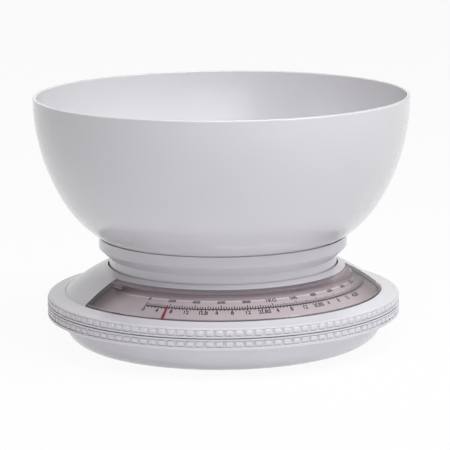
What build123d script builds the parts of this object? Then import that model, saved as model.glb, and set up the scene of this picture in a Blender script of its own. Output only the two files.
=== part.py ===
from build123d import *
import os
from math import asin, atan2, cos, degrees, hypot, pi, radians, sin, sqrt, tan

# Mechanical kitchen scale with a lift-off bowl.
# Millimetres, +Z up, origin on the table under the middle of the base, window towards -Y.
# Azimuths are measured from -Y towards +X, seen from above.

# General clearances, and how far solids are joined or cut past each other
GAP = 0.3
TURN_GAP = 0.4
RUNNING_FIT = 0.06
PRESS_FIT = 0.02
SCREW_SLACK = 0.2
PIN_PROUD = 0.8
JOIN = 0.5
CUT_OVER = 1.0

# Base pan
FOOT_PROUD = 2.0
PAN_FLOOR = 2.2
PAN_WALL = 2.0
PAN_CORNER = 17.5
RIM_OVERHANG = 10.6
PARTING_Z = 28.3
PARTING_GAP = 0.7

# Beaded rims
RIM_R = 118.1
RIM_WALL = 2.9
LIP_HEIGHT = 1.1
BEAD_COUNT = 118
BEAD_HEIGHT = 4.1
BEAD_PROUD = 1.1
BEAD_ROOT = 1.2
LIP_BEVEL = 0.1
RIM_TOP_EDGE = 0.6
LOWER_RIM_HEIGHT = 7.2

# Feet
FOOT_R = 7.0
FOOT_CIRCLE_R = 74.0
FOOT_RECESS = 1.0
FOOT_SIDE_GAP = 0.1
FOOT_EDGE = 0.5
FOOT_COUNT = 4

# Ring on the base that the cover turns on
GUIDE_INSET = 6.5
GUIDE_WALL = 2.0
GUIDE_RISE = 2.9
FLANGE_DEPTH = 1.7
FLANGE_THICK = 1.7
LEDGE_THICK = 2.2
GLIDE_THICK = 0.8
GLIDE_INSET = 0.2
GLIDE_COUNT = 3
GLIDE_SPAN = 9.0

# Cover: the crown rises from the band on top of the rim to the hole for the platform
HOLE_CLEARANCE = 0.9
CROWN_RISE = 26.1
CROWN_RADIUS = 120.0
COVER_WALL = 1.6
GROOVE = 0.4
GROOVE_FILL = 0.6
BAND_WIDTH = 12.1
BAND_RISE = 8.4
BAND_THICK = 1.92
BAND_EDGE = 4.1
BAND_FALL = 1.8
BAND_TURN_WIDTH = 2.2
BAND_TURN_FALL = 0.25
RIM_CORNER_FILL = 0.4
SKIRT_WALL = 1.4
SKIRT_DROP = 3.1
TRACK_WALL = 1.2
HOOK_AZIMUTHS = (85, 125, 180, -125, -85)
HOOK_SPAN = 8.0
HOOK_WALL = 1.9
HOOK_NOSE = 1.8
HOOK_NOSE_HEIGHT = 1.8
HOOK_NOSE_FLAT = 0.8

# Window, lens and dial
WINDOW_LAND = 4.8
WINDOW_HALF = 75.5
WINDOW_CORNER = 1.0
WINDOW_ROUND_END = 7.0
LENS_THICK = 1.1
LENS_LEDGE = 0.8
LENS_BED = 0.05
LENS_EDGE_GAP = 0.12
DIAL_DEPTH = 2.75
DIAL_THICK = 0.8
DIAL_CORNER = 1.0
DIAL_TUCK = 3.0
DIAL_SEAT_MARGIN = 0.4
DIAL_SHORT = 2.6
DIAL_END_TUCK = 1.0
DIAL_SCREW_AZIMUTHS = (-66, -22, 22, 66)
DIAL_SCREW_D = 1.6
DIAL_SCREW_HEAD = 3.2
DIAL_SCREW_HEAD_H = 1.2
DIAL_SCREW_SLACK = 0.1
DIAL_SCREW_COVER = 0.7
DIAL_SCREW_HOLE = 5.0

# Platform dish
LIP_R = 83.0
LIP_WALL = 2.0
LIP_UNDERCUT = 0.6
LIP_EDGE = 0.3
TIER_HEIGHT = 7.7
TIER_EDGE_IN = 0.4
TIER_EDGE_UP = 0.6
CHAMFER_HEIGHT = 5.9
PLATFORM_CLEARANCE = 0.54
SKIRT_R = 76.3
DISH_SKIRT_DROP = 4.4
DISH_FLOOR = 2.0
DISH_CORNER_RISE = 1.2
SCREW_BOSS_R = 4.0
SCREW_COVER = 0.7

# Bowl
BOWL_RIM_R = 125.0
BOWL_RIM_EDGE = 1.2
BOWL_WALL = 2.2
BOWL_EDGE_SHARE = 0.4
BOWL_SIDE_RADIUS = 133.0
BOWL_TURN_DROP = 66.0
BOWL_LOW_RADIUS = 78.0
BOWL_SEAT_GAP = 0.69
BOWL_LIFT = 0.3

# Weighing travel and pointer rate
FULL_LOAD = 2.3496
FULL_TRAVEL = 5.5
FULL_SWEEP = 122.1
BOWL_LOAD = 0.1869
POINTER_REST = -39.4

# Chassis
CHASSIS_HEADROOM = 4.0
CHASSIS_THICK = 2.0
CHASSIS_BACK_MARGIN = 11.0
CHASSIS_FRONT_MARGIN = 16.0
CHASSIS_HALF_Y = 33.0
CHASSIS_CORNER = 6.0
PILLAR_R = 4.5
PILLAR_BACK_INSET = 8.0
PILLAR_BACK_YS = (-14.0, 27.0)
PILLAR_FRONT_SPOTS = ((7.0, 5.0), (10.0, 28.0))
SCREW_D = 3.0
SCREW_HEAD_D = 6.0
SCREW_HEAD_H = 2.0
SCREW_LENGTH = 12.0
SCREW_TIP_ROOM = 0.5

# Parallel arms
ARM_BACK_X = -43.0
ARM_LENGTH = 55.0
ARM_CLEARANCE = 0.94
ARM_HEIGHT = 6.0
ARM_WALL = 1.5
ARM_OUT_Y = 19.7
ARM_WEB_X = 8.0
ARM_WEB_LENGTH = 8.0
CHEEK_WALL = 1.6
CHEEK_GAP = 0.8
CHEEK_LENGTH = 9.0
CHEEK_TOP = 3.5
PIN_D = 3.0
SLOT_PLAY = 0.5
SLOT_SLACK = 0.1

# Load bracket
BRACKET_DROP = 2.9
BRACKET_THICK = 2.0
BRACKET_BACK_MARGIN = 7.0
BRACKET_FRONT_MARGIN = 9.0
BRACKET_HALF_Y = 31.0
BRACKET_CORNER = 5.0
BRACKET_CHEEK = 14.0
BRACKET_SCREW_BACK = 8.0
BRACKET_SCREW_FRONT = 6.0
BRACKET_SCREW_Y = 25.0

# Weighing springs
SPRING_OFFSET = 15.0
SPRING_Y = 24.0
SPRING_MEAN_D = 10.0
SPRING_WIRE = 1.1
SPRING_TURNS = 7
SPRING_CUP_D = 14.0
SPRING_CUP_H = 2.0
SPRING_PEG_D = 7.5
SPRING_PEG_H = 3.0
SPRING_SEAT_GAP = 0.1

# Bell crank
CRANK_X = 28.0
CRANK_Y = -7.0
CRANK_TIP_RISE = 2.07
CRANK_THICK = 2.0
CRANK_SHORT = 13.7
CRANK_HUB_R = 4.5
CRANK_ARM_W = 5.0
CRANK_FORK_W = 7.0
CRANK_FORK_TIP = 3.0
CRANK_LUG_WALL = 1.6
CRANK_LUG_GAP = 2.0
CRANK_TIP_PIN_D = 2.0
DRIVE_PIN_PLAY = 0.1
DRIVE_LUG_GAP = 1.5
LUG_HALF = 4.0

# Rack and pinion
MODULE = 0.5
PINION_TEETH = 16
PRESSURE_ANGLE = 20.0
ADDENDUM = 0.45
DEDENDUM = 0.62
BACKLASH = 0.1
FLANK_SHARES = (0, 0.25, 0.6, 1)
PINION_GAP = 1.1
PINION_H = 4.0
RACK_H = 3.0
TOOTH_REACH = 5.0
RACK_BAR_W = 5.0
RACK_BAR_GAP = 0.93
RACK_TAB_W = 1.2
RACK_TAB_H = 6.5
RACK_TAB_ROOT = 2.0
RACK_TAB_GAP = 0.4
RACK_TAB_PAST = 4.0
RACK_SLOT_PLAY = 1.6
GUIDE_BLOCK_L = 5.2
GUIDE_BLOCK_WALL = 1.8
GUIDE_STANDOFF = 5.3
GUIDE_HOLD = 3.35
GUIDE_END_GAP = 0.35

# Spindle and pointer
SPINDLE_D = 3.0
SPINDLE_FOOT = 0.6
SPINDLE_HEAD = 3.0
SPINDLE_FLOOR_GAP = 0.1
BEARING_D = 7.0
FOOTSTEP_H = 2.6
BUSH_H = 3.2
BUSH_FLANGE_H = 0.8
BUSH_FLANGE_W = 1.0
BOSS_WALL = 1.6
BOSS_SHORT = 0.6
HUB_RISE = 3.4
HUB_D = 8.0
HUB_H = 3.8
HUB_FLANGE = 1.4
HUB_FLANGE_W = 2.0
POINTER_THICK = 1.2
POINTER_EYE_W = 2.5
POINTER_TAIL = 24.0
POINTER_TAIL_R = 5.0
POINTER_BEND_INSET = 9.5
POINTER_BEND_SHIFT = 1.0
POINTER_RISE_INSET = 2.1
POINTER_RISE_THICK = 0.8
POINTER_RISE_START = 9.5
POINTER_RISE_SHIFT = 0.6
POINTER_STRIP_W = 20.0
POINTER_ARM_W = 6.0
POINTER_END_W = 3.2
POINTER_REACH = 9.8
POINTER_TIP_W = 1.0
POINTER_FINGER_W = 2.2
POINTER_FINGER_DEPTH = 1.98
POINTER_FINGER_THICK = 0.42
POINTER_JOIN_RISE = 2.7
CLIP_D = 6.0
CLIP_THICK = 0.8
CLIP_INSET = 1.0

# Vertices nearer than this are the same point
SAME_POINT = 0.01

# What follows for the base and the cover
COVER_LOW_Z = PARTING_Z + PARTING_GAP / 2
BASE_LIP_Z = PARTING_Z - PARTING_GAP / 2
PAN_R = RIM_R - RIM_OVERHANG
PAN_INNER_R = PAN_R - PAN_WALL
PAN_FLOOR_Z = FOOT_PROUD + PAN_FLOOR
RIM_LOW_Z = BASE_LIP_Z - LOWER_RIM_HEIGHT
LEDGE_Z = RIM_LOW_Z + LEDGE_THICK
RIM_IN_R = RIM_R - RIM_WALL
BEAD_WALL_R = RIM_R - BEAD_ROOT
LOWER_BEAD_Z = BASE_LIP_Z - LIP_HEIGHT - BEAD_HEIGHT / 2
UPPER_BEAD_Z = COVER_LOW_Z + LIP_HEIGHT + BEAD_HEIGHT / 2
GUIDE_R = RIM_R - GUIDE_INSET
GUIDE_TOP_Z = PARTING_Z + GUIDE_RISE
SKIRT_LOW_Z = PARTING_Z - SKIRT_DROP
HOLE_R = SKIRT_R + HOLE_CLEARANCE
CROWN_R = RIM_R - BAND_WIDTH
CROWN_TOP_Z = PARTING_Z + CROWN_RISE
CROWN_LOW_Z = PARTING_Z + BAND_RISE
BAND_OUT_R = RIM_R - BAND_EDGE
BAND_OUT_Z = CROWN_LOW_Z - BAND_FALL
WINDOW_IN_R = HOLE_R + WINDOW_LAND
WINDOW_OUT_R = CROWN_R
DIAL_IN_R = WINDOW_IN_R - DIAL_TUCK
DIAL_OUT_R = WINDOW_OUT_R - DIAL_SHORT
DIAL_HALF = WINDOW_HALF + DIAL_END_TUCK
DIAL_SCREW_R = (DIAL_IN_R + WINDOW_IN_R) / 2

# What follows for the travel, the platform and the bowl
PITCH_R = MODULE * PINION_TEETH / 2
TRAVEL_PER_KG = FULL_TRAVEL / FULL_LOAD
SWEEP_PER_MM = radians(FULL_SWEEP) / FULL_TRAVEL
UP_TRAVEL = BOWL_LOAD * TRAVEL_PER_KG
DOWN_TRAVEL = FULL_TRAVEL - UP_TRAVEL
CHAMFER_LOW_Z = CROWN_TOP_Z + DOWN_TRAVEL + PLATFORM_CLEARANCE
TIER_LOW_Z = CHAMFER_LOW_Z + CHAMFER_HEIGHT
LIP_TOP_Z = TIER_LOW_Z + TIER_HEIGHT
DISH_SKIRT_Z = CROWN_TOP_Z - DISH_SKIRT_DROP
BOWL_SHARE = 1 - BOWL_LOW_RADIUS / BOWL_SIDE_RADIUS
BOWL_SIDE_R = BOWL_RIM_R - BOWL_SIDE_RADIUS
BOWL_LOW_R = BOWL_SIDE_R + sqrt(BOWL_SIDE_RADIUS ** 2 - BOWL_TURN_DROP ** 2) * BOWL_SHARE
BOWL_LOW_Z = LIP_TOP_Z + BOWL_SEAT_GAP + sqrt(BOWL_LOW_RADIUS ** 2 - (LIP_R - BOWL_LOW_R) ** 2)
BOWL_SIDE_Z = BOWL_LOW_Z + BOWL_TURN_DROP * BOWL_SHARE
BOWL_TOP_Z = BOWL_SIDE_Z + BOWL_RIM_EDGE
DISH_FLOOR_Z = BOWL_LOW_Z - BOWL_LOW_RADIUS - BOWL_LIFT

# What follows for the mechanism, from the spindle up to the bracket
SPINDLE_LOW_Z = PAN_FLOOR_Z + SPINDLE_FOOT
HUB_Z = PAN_FLOOR_Z + HUB_RISE
POINTER_Z = HUB_Z + HUB_FLANGE
PINION_Z = HUB_Z + HUB_H + PINION_GAP
RACK_Z = PINION_Z + (PINION_H - RACK_H) / 2
CHASSIS_Z = RACK_Z + RACK_H + CHASSIS_HEADROOM
CHASSIS_TOP_Z = CHASSIS_Z + CHASSIS_THICK
SPINDLE_TOP_Z = CHASSIS_TOP_Z + SPINDLE_HEAD
POINTER_BEND_R = PAN_INNER_R - POINTER_BEND_INSET
POINTER_RISE_R = CROWN_R - POINTER_RISE_INSET
POINTER_RISE_Z = POINTER_Z + POINTER_RISE_START
POINTER_JOIN_Z = PARTING_Z + POINTER_JOIN_RISE
POINTER_TIP_R = DIAL_OUT_R - POINTER_REACH
BRACKET_Z = DISH_FLOOR_Z - DISH_FLOOR - BRACKET_DROP - BRACKET_THICK
LOWER_ARM_Z = CHASSIS_TOP_Z + DOWN_TRAVEL + ARM_CLEARANCE + ARM_HEIGHT / 2
UPPER_ARM_Z = BRACKET_Z - DOWN_TRAVEL - ARM_CLEARANCE - ARM_HEIGHT / 2
ARM_FRONT_X = ARM_BACK_X + ARM_LENGTH
SPRING_X = ARM_FRONT_X + SPRING_OFFSET
SPRING_LOW_Z = CHASSIS_TOP_Z + SPRING_CUP_H + SPRING_WIRE / 2 + SPRING_SEAT_GAP
SPRING_HIGH_Z = BRACKET_Z - SPRING_CUP_H - SPRING_WIRE / 2 - SPRING_SEAT_GAP
BRACKET_BACK_X = ARM_BACK_X + BRACKET_BACK_MARGIN
BRACKET_FRONT_X = SPRING_X + BRACKET_FRONT_MARGIN
BRACKET_CHEEK_OUT_Y = ARM_OUT_Y - ARM_WALL - CHEEK_GAP
BRACKET_SCREWS = [
    (x, y)
    for x in (BRACKET_BACK_X + BRACKET_SCREW_BACK, ARM_FRONT_X - BRACKET_SCREW_FRONT)
    for y in (-BRACKET_SCREW_Y, BRACKET_SCREW_Y)
]
CHASSIS_BACK_X = ARM_BACK_X - CHASSIS_BACK_MARGIN
CHASSIS_FRONT_X = BRACKET_FRONT_X + CHASSIS_FRONT_MARGIN
PILLAR_POINTS = [(CHASSIS_BACK_X + PILLAR_BACK_INSET, y) for y in PILLAR_BACK_YS]
PILLAR_POINTS += [(CHASSIS_FRONT_X - inset, y) for inset, y in PILLAR_FRONT_SPOTS]

# What follows for the crank and the rack
CRANK_LONG = SWEEP_PER_MM * PITCH_R * CRANK_SHORT
CRANK_REST = (DOWN_TRAVEL - UP_TRAVEL) / 2 / CRANK_SHORT
CRANK_SWING = FULL_TRAVEL / 2 / CRANK_SHORT
CRANK_TIP_X = CRANK_X - CRANK_LONG * sin(CRANK_REST)
CRANK_TIP_Z = RACK_Z + CRANK_TIP_RISE
CRANK_Z = CRANK_TIP_Z + CRANK_LONG * cos(CRANK_REST)
CRANK_LUG_Y = CRANK_THICK / 2 + CRANK_LUG_GAP
DRIVE_PIN_X = CRANK_X - CRANK_SHORT * cos(CRANK_REST)
DRIVE_PIN_Z = CRANK_Z + CRANK_SHORT * sin(CRANK_REST)
RACK_OUT = SWEEP_PER_MM * PITCH_R * DOWN_TRAVEL
RACK_IN = SWEEP_PER_MM * PITCH_R * UP_TRAVEL
RACK_BAR_TO_X = CRANK_TIP_X - CRANK_ARM_W / 2 - RACK_BAR_GAP
RACK_TAB_FROM_X = RACK_BAR_TO_X - RACK_TAB_ROOT
RACK_TOOTH_FROM_X = -RACK_OUT - TOOTH_REACH
RACK_TOOTH_TO_X = RACK_IN + TOOTH_REACH
LEFT_GUIDE_TO_X = RACK_TOOTH_FROM_X - RACK_IN - GUIDE_STANDOFF
RACK_BACK_X = LEFT_GUIDE_TO_X - GUIDE_HOLD - RACK_OUT


def outline(*edges):
    """Face in the radius-height plane from edges that close on themselves."""
    return Plane.XZ * make_face(Wire(edges))


def turned(*edges):
    """Solid of revolution about Z from an outline in the radius-height plane."""
    return revolve(outline(*edges), Axis.Z)


def chain(*points):
    """Straight edges through the points."""
    return [Line(a, b) for a, b in zip(points, points[1:])]


def raised(face, height):
    """Prism that stands up from a flat face."""
    return extrude(face, height, dir=(0, 0, 1))


def ring(r_in, r_out, z_low, z_high):
    """Plain ring about the Z axis."""
    corners = ((r_in, z_low), (r_out, z_low), (r_out, z_high), (r_in, z_high), (r_in, z_low))
    return turned(*chain(*corners))


def disc(x, y, z, radius, height):
    """Upright cylinder standing at a point."""
    return Pos(x, y, z) * Cylinder(radius, height, align=(Align.CENTER, Align.CENTER, Align.MIN))


def block(x_from, x_to, y_from, y_to, z_from, z_to):
    """Box between two corners."""
    box = Box(x_to - x_from, y_to - y_from, z_to - z_from, align=(Align.MIN, Align.MIN, Align.MIN))
    return Pos(x_from, y_from, z_from) * box


def cross_pin(x, z, y_from, y_to, diameter):
    """Round pin lying along Y."""
    return Pos(x, y_to, z) * Rot(90, 0, 0) * Cylinder(
        diameter / 2, y_to - y_from, align=(Align.CENTER, Align.CENTER, Align.MIN)
    )


def place(radius, azimuth):
    """Plan point at a radius and an azimuth from -Y towards +X."""
    return (radius * sin(radians(azimuth)), -radius * cos(radians(azimuth)))


def group(solids):
    """Separate solids that share one node."""
    return Compound(children=[s.solid() for s in solids])


def crown_centre():
    """Centre of the arc that the cover's crown follows in section."""
    dr = CROWN_R - HOLE_R
    dz = CROWN_TOP_Z - CROWN_LOW_Z
    chord = hypot(dr, dz)
    reach = sqrt(CROWN_RADIUS ** 2 - chord ** 2 / 4)
    mid_r = (CROWN_R + HOLE_R) / 2
    mid_z = (CROWN_TOP_Z + CROWN_LOW_Z) / 2
    return mid_r - reach * dz / chord, mid_z - reach * dr / chord


def crown_z(radius, depth):
    """Height of the surface that lies a depth under the crown."""
    centre_r, centre_z = crown_centre()
    return centre_z + sqrt((CROWN_RADIUS - depth) ** 2 - (radius - centre_r) ** 2)


def crown_point(radius, depth):
    """Section point at a radius and a depth under the crown."""
    return (radius, crown_z(radius, depth))


def crown_arc(r_from, r_to, depth):
    """Section arc that follows the crown at a depth."""
    middle = (r_from + r_to) / 2
    return ThreePointArc(
        crown_point(r_from, depth), crown_point(middle, depth), crown_point(r_to, depth)
    )


def crown_layer(r_in, r_out, depth_top, depth_low):
    """Ring that follows the crown between two depths."""
    return turned(
        crown_arc(r_in, r_out, depth_top),
        Line(crown_point(r_out, depth_top), crown_point(r_out, depth_low)),
        crown_arc(r_out, r_in, depth_low),
        Line(crown_point(r_in, depth_low), crown_point(r_in, depth_top)),
    )


def sector_prism(r_in, r_out, half_angle, corner, round_end):
    """Upright prism over a ring sector about the front, with a rounder corner on the right."""
    face = make_face(
        Wire(
            [
                ThreePointArc(place(r_out, -half_angle), place(r_out, 0), place(r_out, half_angle)),
                Line(place(r_out, half_angle), place(r_in, half_angle)),
                ThreePointArc(place(r_in, half_angle), place(r_in, 0), place(r_in, -half_angle)),
                Line(place(r_in, -half_angle), place(r_out, -half_angle)),
            ]
        )
    )
    right_outer = Vector(*place(r_out, half_angle))
    others = face.vertices().filter_by(lambda v: (Vector(v) - right_outer).length > SAME_POINT)
    face = fillet(others, corner)
    last = face.vertices().filter_by(lambda v: (Vector(v) - right_outer).length < SAME_POINT)
    face = fillet(last, round_end)
    return raised(face, CROWN_TOP_Z + CUT_OVER)


def wedge(azimuth, span):
    """Tall prism over a slice of the plan about an azimuth."""
    half = span / 2
    reach = (RIM_R + CUT_OVER) / cos(radians(half))
    corners = ((0, 0), place(reach, azimuth - half), place(reach, azimuth + half))
    return raised(Polygon(*corners, align=None), CROWN_TOP_Z)


def bead_row(z_middle):
    """Row of beads round a rim."""
    pitch = 360 / BEAD_COUNT
    crest = BEAD_WALL_R + BEAD_PROUD
    arcs = []
    for index in range(BEAD_COUNT):
        angle = index * pitch
        arcs.append(
            ThreePointArc(
                place(BEAD_WALL_R, angle - pitch / 2),
                place(crest, angle),
                place(BEAD_WALL_R, angle + pitch / 2),
            )
        )
    face = make_face(Wire(arcs)) - Circle(BEAD_WALL_R - JOIN)
    return Pos(0, 0, z_middle - BEAD_HEIGHT / 2) * raised(face, BEAD_HEIGHT)


def base_pan():
    """Lower casing with its beaded rim, guide ring, pillars and spindle boss."""
    corner_z = FOOT_PROUD + PAN_CORNER
    corner_r = PAN_R - PAN_CORNER
    inner_corner = PAN_CORNER - PAN_WALL
    inner_corner_z = PAN_FLOOR_Z + inner_corner
    bend = sqrt(0.5)
    guide_in_r = GUIDE_R - GUIDE_WALL
    flange_in_r = guide_in_r - FLANGE_DEPTH
    body = turned(
        Line((0, FOOT_PROUD), (corner_r, FOOT_PROUD)),
        ThreePointArc(
            (corner_r, FOOT_PROUD),
            (corner_r + PAN_CORNER * bend, corner_z - PAN_CORNER * bend),
            (PAN_R, corner_z),
        ),
        *chain(
            (PAN_R, corner_z),
            (PAN_R, RIM_LOW_Z),
            (RIM_R - RIM_TOP_EDGE, RIM_LOW_Z),
            (RIM_R, RIM_LOW_Z + RIM_TOP_EDGE),
            (RIM_R, LOWER_BEAD_Z - BEAD_HEIGHT / 2 - LIP_BEVEL),
            (BEAD_WALL_R, LOWER_BEAD_Z - BEAD_HEIGHT / 2),
            (BEAD_WALL_R, LOWER_BEAD_Z + BEAD_HEIGHT / 2),
            (RIM_R, LOWER_BEAD_Z + BEAD_HEIGHT / 2 + LIP_BEVEL),
            (RIM_R, BASE_LIP_Z),
            (RIM_IN_R, BASE_LIP_Z),
            (RIM_IN_R, LEDGE_Z),
            (GUIDE_R, LEDGE_Z),
            (GUIDE_R, GUIDE_TOP_Z),
            (flange_in_r, GUIDE_TOP_Z),
            (flange_in_r, GUIDE_TOP_Z - FLANGE_THICK),
            (guide_in_r, GUIDE_TOP_Z - FLANGE_THICK),
            (guide_in_r, LEDGE_Z),
            (PAN_INNER_R, LEDGE_Z),
            (PAN_INNER_R, inner_corner_z),
        ),
        ThreePointArc(
            (PAN_INNER_R, inner_corner_z),
            (PAN_INNER_R - inner_corner * (1 - bend), inner_corner_z - inner_corner * bend),
            (PAN_INNER_R - inner_corner, PAN_FLOOR_Z),
        ),
        *chain((PAN_INNER_R - inner_corner, PAN_FLOOR_Z), (0, PAN_FLOOR_Z), (0, FOOT_PROUD)),
    )
    body += bead_row(LOWER_BEAD_Z)
    for x, y in PILLAR_POINTS:
        body += disc(x, y, PAN_FLOOR_Z - JOIN, PILLAR_R, CHASSIS_Z - PAN_FLOOR_Z + JOIN)
        hole_low = CHASSIS_TOP_Z - SCREW_LENGTH - SCREW_TIP_ROOM
        body -= disc(x, y, hole_low, SCREW_D / 2 + PRESS_FIT, CHASSIS_Z - hole_low + CUT_OVER)
    boss_r = BEARING_D / 2 + BOSS_WALL
    body += disc(0, 0, PAN_FLOOR_Z - JOIN, boss_r, FOOTSTEP_H - BOSS_SHORT + JOIN)
    body -= disc(0, 0, PAN_FLOOR_Z, BEARING_D / 2 + PRESS_FIT, FOOTSTEP_H + CUT_OVER)
    for x, y in foot_points():
        body -= disc(x, y, 0, FOOT_R + FOOT_SIDE_GAP, FOOT_PROUD + FOOT_RECESS)
    return body


def foot_points():
    """Plan points of the feet."""
    step = 360 / FOOT_COUNT
    return [place(FOOT_CIRCLE_R, step * (index + 0.5)) for index in range(FOOT_COUNT)]


def rubber_feet():
    """Soft feet let into the pan's underside."""
    feet = []
    for x, y in foot_points():
        foot = disc(x, y, 0, FOOT_R, FOOT_PROUD + FOOT_RECESS - PRESS_FIT)
        feet.append(chamfer(foot.edges().group_by(Axis.Z)[0], FOOT_EDGE))
    return group(feet)


def glide_pads():
    """Low-friction pads on top of the guide ring that the cover slides on."""
    inner_r = GUIDE_R - GUIDE_WALL + GLIDE_INSET
    outer_r = GUIDE_R - GLIDE_INSET
    track = ring(inner_r, outer_r, GUIDE_TOP_Z, GUIDE_TOP_Z + GLIDE_THICK)
    step = 360 / GLIDE_COUNT
    return group([track & wedge(step * index, GLIDE_SPAN) for index in range(GLIDE_COUNT)])


def top_cover():
    """Upper casing with its crown, window opening, beaded rim, skirt, track and snap hooks."""
    groove_r = CROWN_R - GROOVE
    band_in = (CROWN_R + GROOVE, CROWN_LOW_Z)
    shoulder_z = UPPER_BEAD_Z + BEAD_HEIGHT / 2
    inner_z = CROWN_LOW_Z - BAND_THICK
    band_slope = (CROWN_LOW_Z - BAND_OUT_Z) / (BAND_OUT_R - CROWN_R - GROOVE)
    track_out_r = GUIDE_R - TURN_GAP
    track_in_r = track_out_r - TRACK_WALL
    skirt_in_r = GUIDE_R + TURN_GAP
    skirt_out_r = skirt_in_r + SKIRT_WALL
    seat_in_r = DIAL_IN_R - DIAL_SEAT_MARGIN

    def under(radius):
        return inner_z - band_slope * (radius - CROWN_R)

    body = turned(
        crown_arc(HOLE_R, groove_r, 0),
        Line(crown_point(groove_r, 0), (CROWN_R, crown_z(CROWN_R, 0) - GROOVE)),
        Line((CROWN_R, crown_z(CROWN_R, 0) - GROOVE), band_in),
        Line(band_in, (BAND_OUT_R, BAND_OUT_Z)),
        ThreePointArc(
            (BAND_OUT_R, BAND_OUT_Z),
            (BAND_OUT_R + BAND_TURN_WIDTH, BAND_OUT_Z - BAND_TURN_FALL),
            (RIM_R - RIM_TOP_EDGE, shoulder_z + LIP_BEVEL),
        ),
        *chain(
            (RIM_R - RIM_TOP_EDGE, shoulder_z + LIP_BEVEL),
            (BEAD_WALL_R, shoulder_z),
            (BEAD_WALL_R, shoulder_z - BEAD_HEIGHT),
            (RIM_R, shoulder_z - BEAD_HEIGHT - LIP_BEVEL),
            (RIM_R, COVER_LOW_Z),
            (RIM_IN_R, COVER_LOW_Z),
            (RIM_IN_R, under(RIM_IN_R) - RIM_CORNER_FILL),
            (skirt_out_r, under(skirt_out_r)),
            (skirt_out_r, SKIRT_LOW_Z),
            (skirt_in_r, SKIRT_LOW_Z),
            (skirt_in_r, under(skirt_in_r)),
            (track_out_r, under(track_out_r)),
            (track_out_r, GUIDE_TOP_Z + GLIDE_THICK + GAP),
            (track_in_r, GUIDE_TOP_Z + GLIDE_THICK + GAP),
            (track_in_r, under(track_in_r)),
            (CROWN_R, inner_z),
            crown_point(CROWN_R - GROOVE_FILL, COVER_WALL),
        ),
        crown_arc(CROWN_R - GROOVE_FILL, WINDOW_IN_R, COVER_WALL),
        Line(crown_point(WINDOW_IN_R, COVER_WALL), crown_point(WINDOW_IN_R, DIAL_DEPTH)),
        crown_arc(WINDOW_IN_R, seat_in_r, DIAL_DEPTH),
        Line(crown_point(seat_in_r, DIAL_DEPTH), crown_point(seat_in_r, COVER_WALL)),
        crown_arc(seat_in_r, HOLE_R, COVER_WALL),
        Line(crown_point(HOLE_R, COVER_WALL), crown_point(HOLE_R, 0)),
    )
    body += bead_row(UPPER_BEAD_Z)
    opening = sector_prism(
        WINDOW_IN_R, WINDOW_OUT_R, WINDOW_HALF, WINDOW_CORNER, WINDOW_ROUND_END
    )
    body -= opening & crown_layer(
        WINDOW_IN_R - CUT_OVER, WINDOW_OUT_R + CUT_OVER, -CUT_OVER, LENS_THICK + LENS_BED
    )
    ledge_turn = degrees(LENS_LEDGE / WINDOW_IN_R)
    body -= sector_prism(
        WINDOW_IN_R + LENS_LEDGE,
        WINDOW_OUT_R - LENS_LEDGE,
        WINDOW_HALF - ledge_turn,
        WINDOW_CORNER,
        WINDOW_ROUND_END - LENS_LEDGE,
    )
    for azimuth in HOOK_AZIMUTHS:
        body += snap_hook(azimuth, under(CROWN_R + GROOVE))
    hole_low = crown_z(DIAL_SCREW_R, DIAL_SCREW_COVER) - DIAL_SCREW_HOLE
    for azimuth in DIAL_SCREW_AZIMUTHS:
        x, y = place(DIAL_SCREW_R, azimuth)
        body -= disc(x, y, hole_low, DIAL_SCREW_D / 2 + PRESS_FIT, DIAL_SCREW_HOLE)
    return body


def snap_hook(azimuth, top_z):
    """Hook under the cover that snaps below the flange of the guide ring."""
    flange_in_r = GUIDE_R - GUIDE_WALL - FLANGE_DEPTH
    leg_out_r = flange_in_r - TURN_GAP
    leg_in_r = leg_out_r - HOOK_WALL
    nose_top_z = GUIDE_TOP_Z - FLANGE_THICK - TURN_GAP
    nose_low_z = nose_top_z - HOOK_NOSE_HEIGHT
    leg = turned(
        *chain(
            (leg_in_r, nose_low_z),
            (leg_out_r, nose_low_z),
            (leg_out_r + HOOK_NOSE, nose_top_z - HOOK_NOSE_FLAT),
            (leg_out_r + HOOK_NOSE, nose_top_z),
            (leg_out_r, nose_top_z),
            (leg_out_r, top_z + JOIN),
            (leg_in_r, top_z + JOIN),
            (leg_in_r, nose_low_z),
        )
    )
    return leg & wedge(azimuth, HOOK_SPAN)


def window_lens():
    """Clear pane let into the cover's window opening."""
    turn = degrees(LENS_EDGE_GAP / WINDOW_IN_R)
    plan = sector_prism(
        WINDOW_IN_R + LENS_EDGE_GAP,
        WINDOW_OUT_R - LENS_EDGE_GAP,
        WINDOW_HALF - turn,
        WINDOW_CORNER,
        WINDOW_ROUND_END - LENS_EDGE_GAP,
    )
    return plan & crown_layer(WINDOW_IN_R - CUT_OVER, WINDOW_OUT_R + CUT_OVER, 0, LENS_THICK)


def dial_plate():
    """Conical plate that carries the printed scale, screwed up under the cover."""
    plan = sector_prism(DIAL_IN_R, DIAL_OUT_R, DIAL_HALF, DIAL_CORNER, DIAL_CORNER)
    depth = DIAL_DEPTH + PRESS_FIT
    plate = plan & crown_layer(
        DIAL_IN_R - CUT_OVER, DIAL_OUT_R + CUT_OVER, depth, depth + DIAL_THICK
    )
    hole_r = DIAL_SCREW_D / 2 + DIAL_SCREW_SLACK
    hole_low = crown_z(DIAL_SCREW_R, depth) - DIAL_SCREW_HOLE
    for azimuth in DIAL_SCREW_AZIMUTHS:
        x, y = place(DIAL_SCREW_R, azimuth)
        plate -= disc(x, y, hole_low, hole_r, 2 * DIAL_SCREW_HOLE)
    return plate


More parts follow.
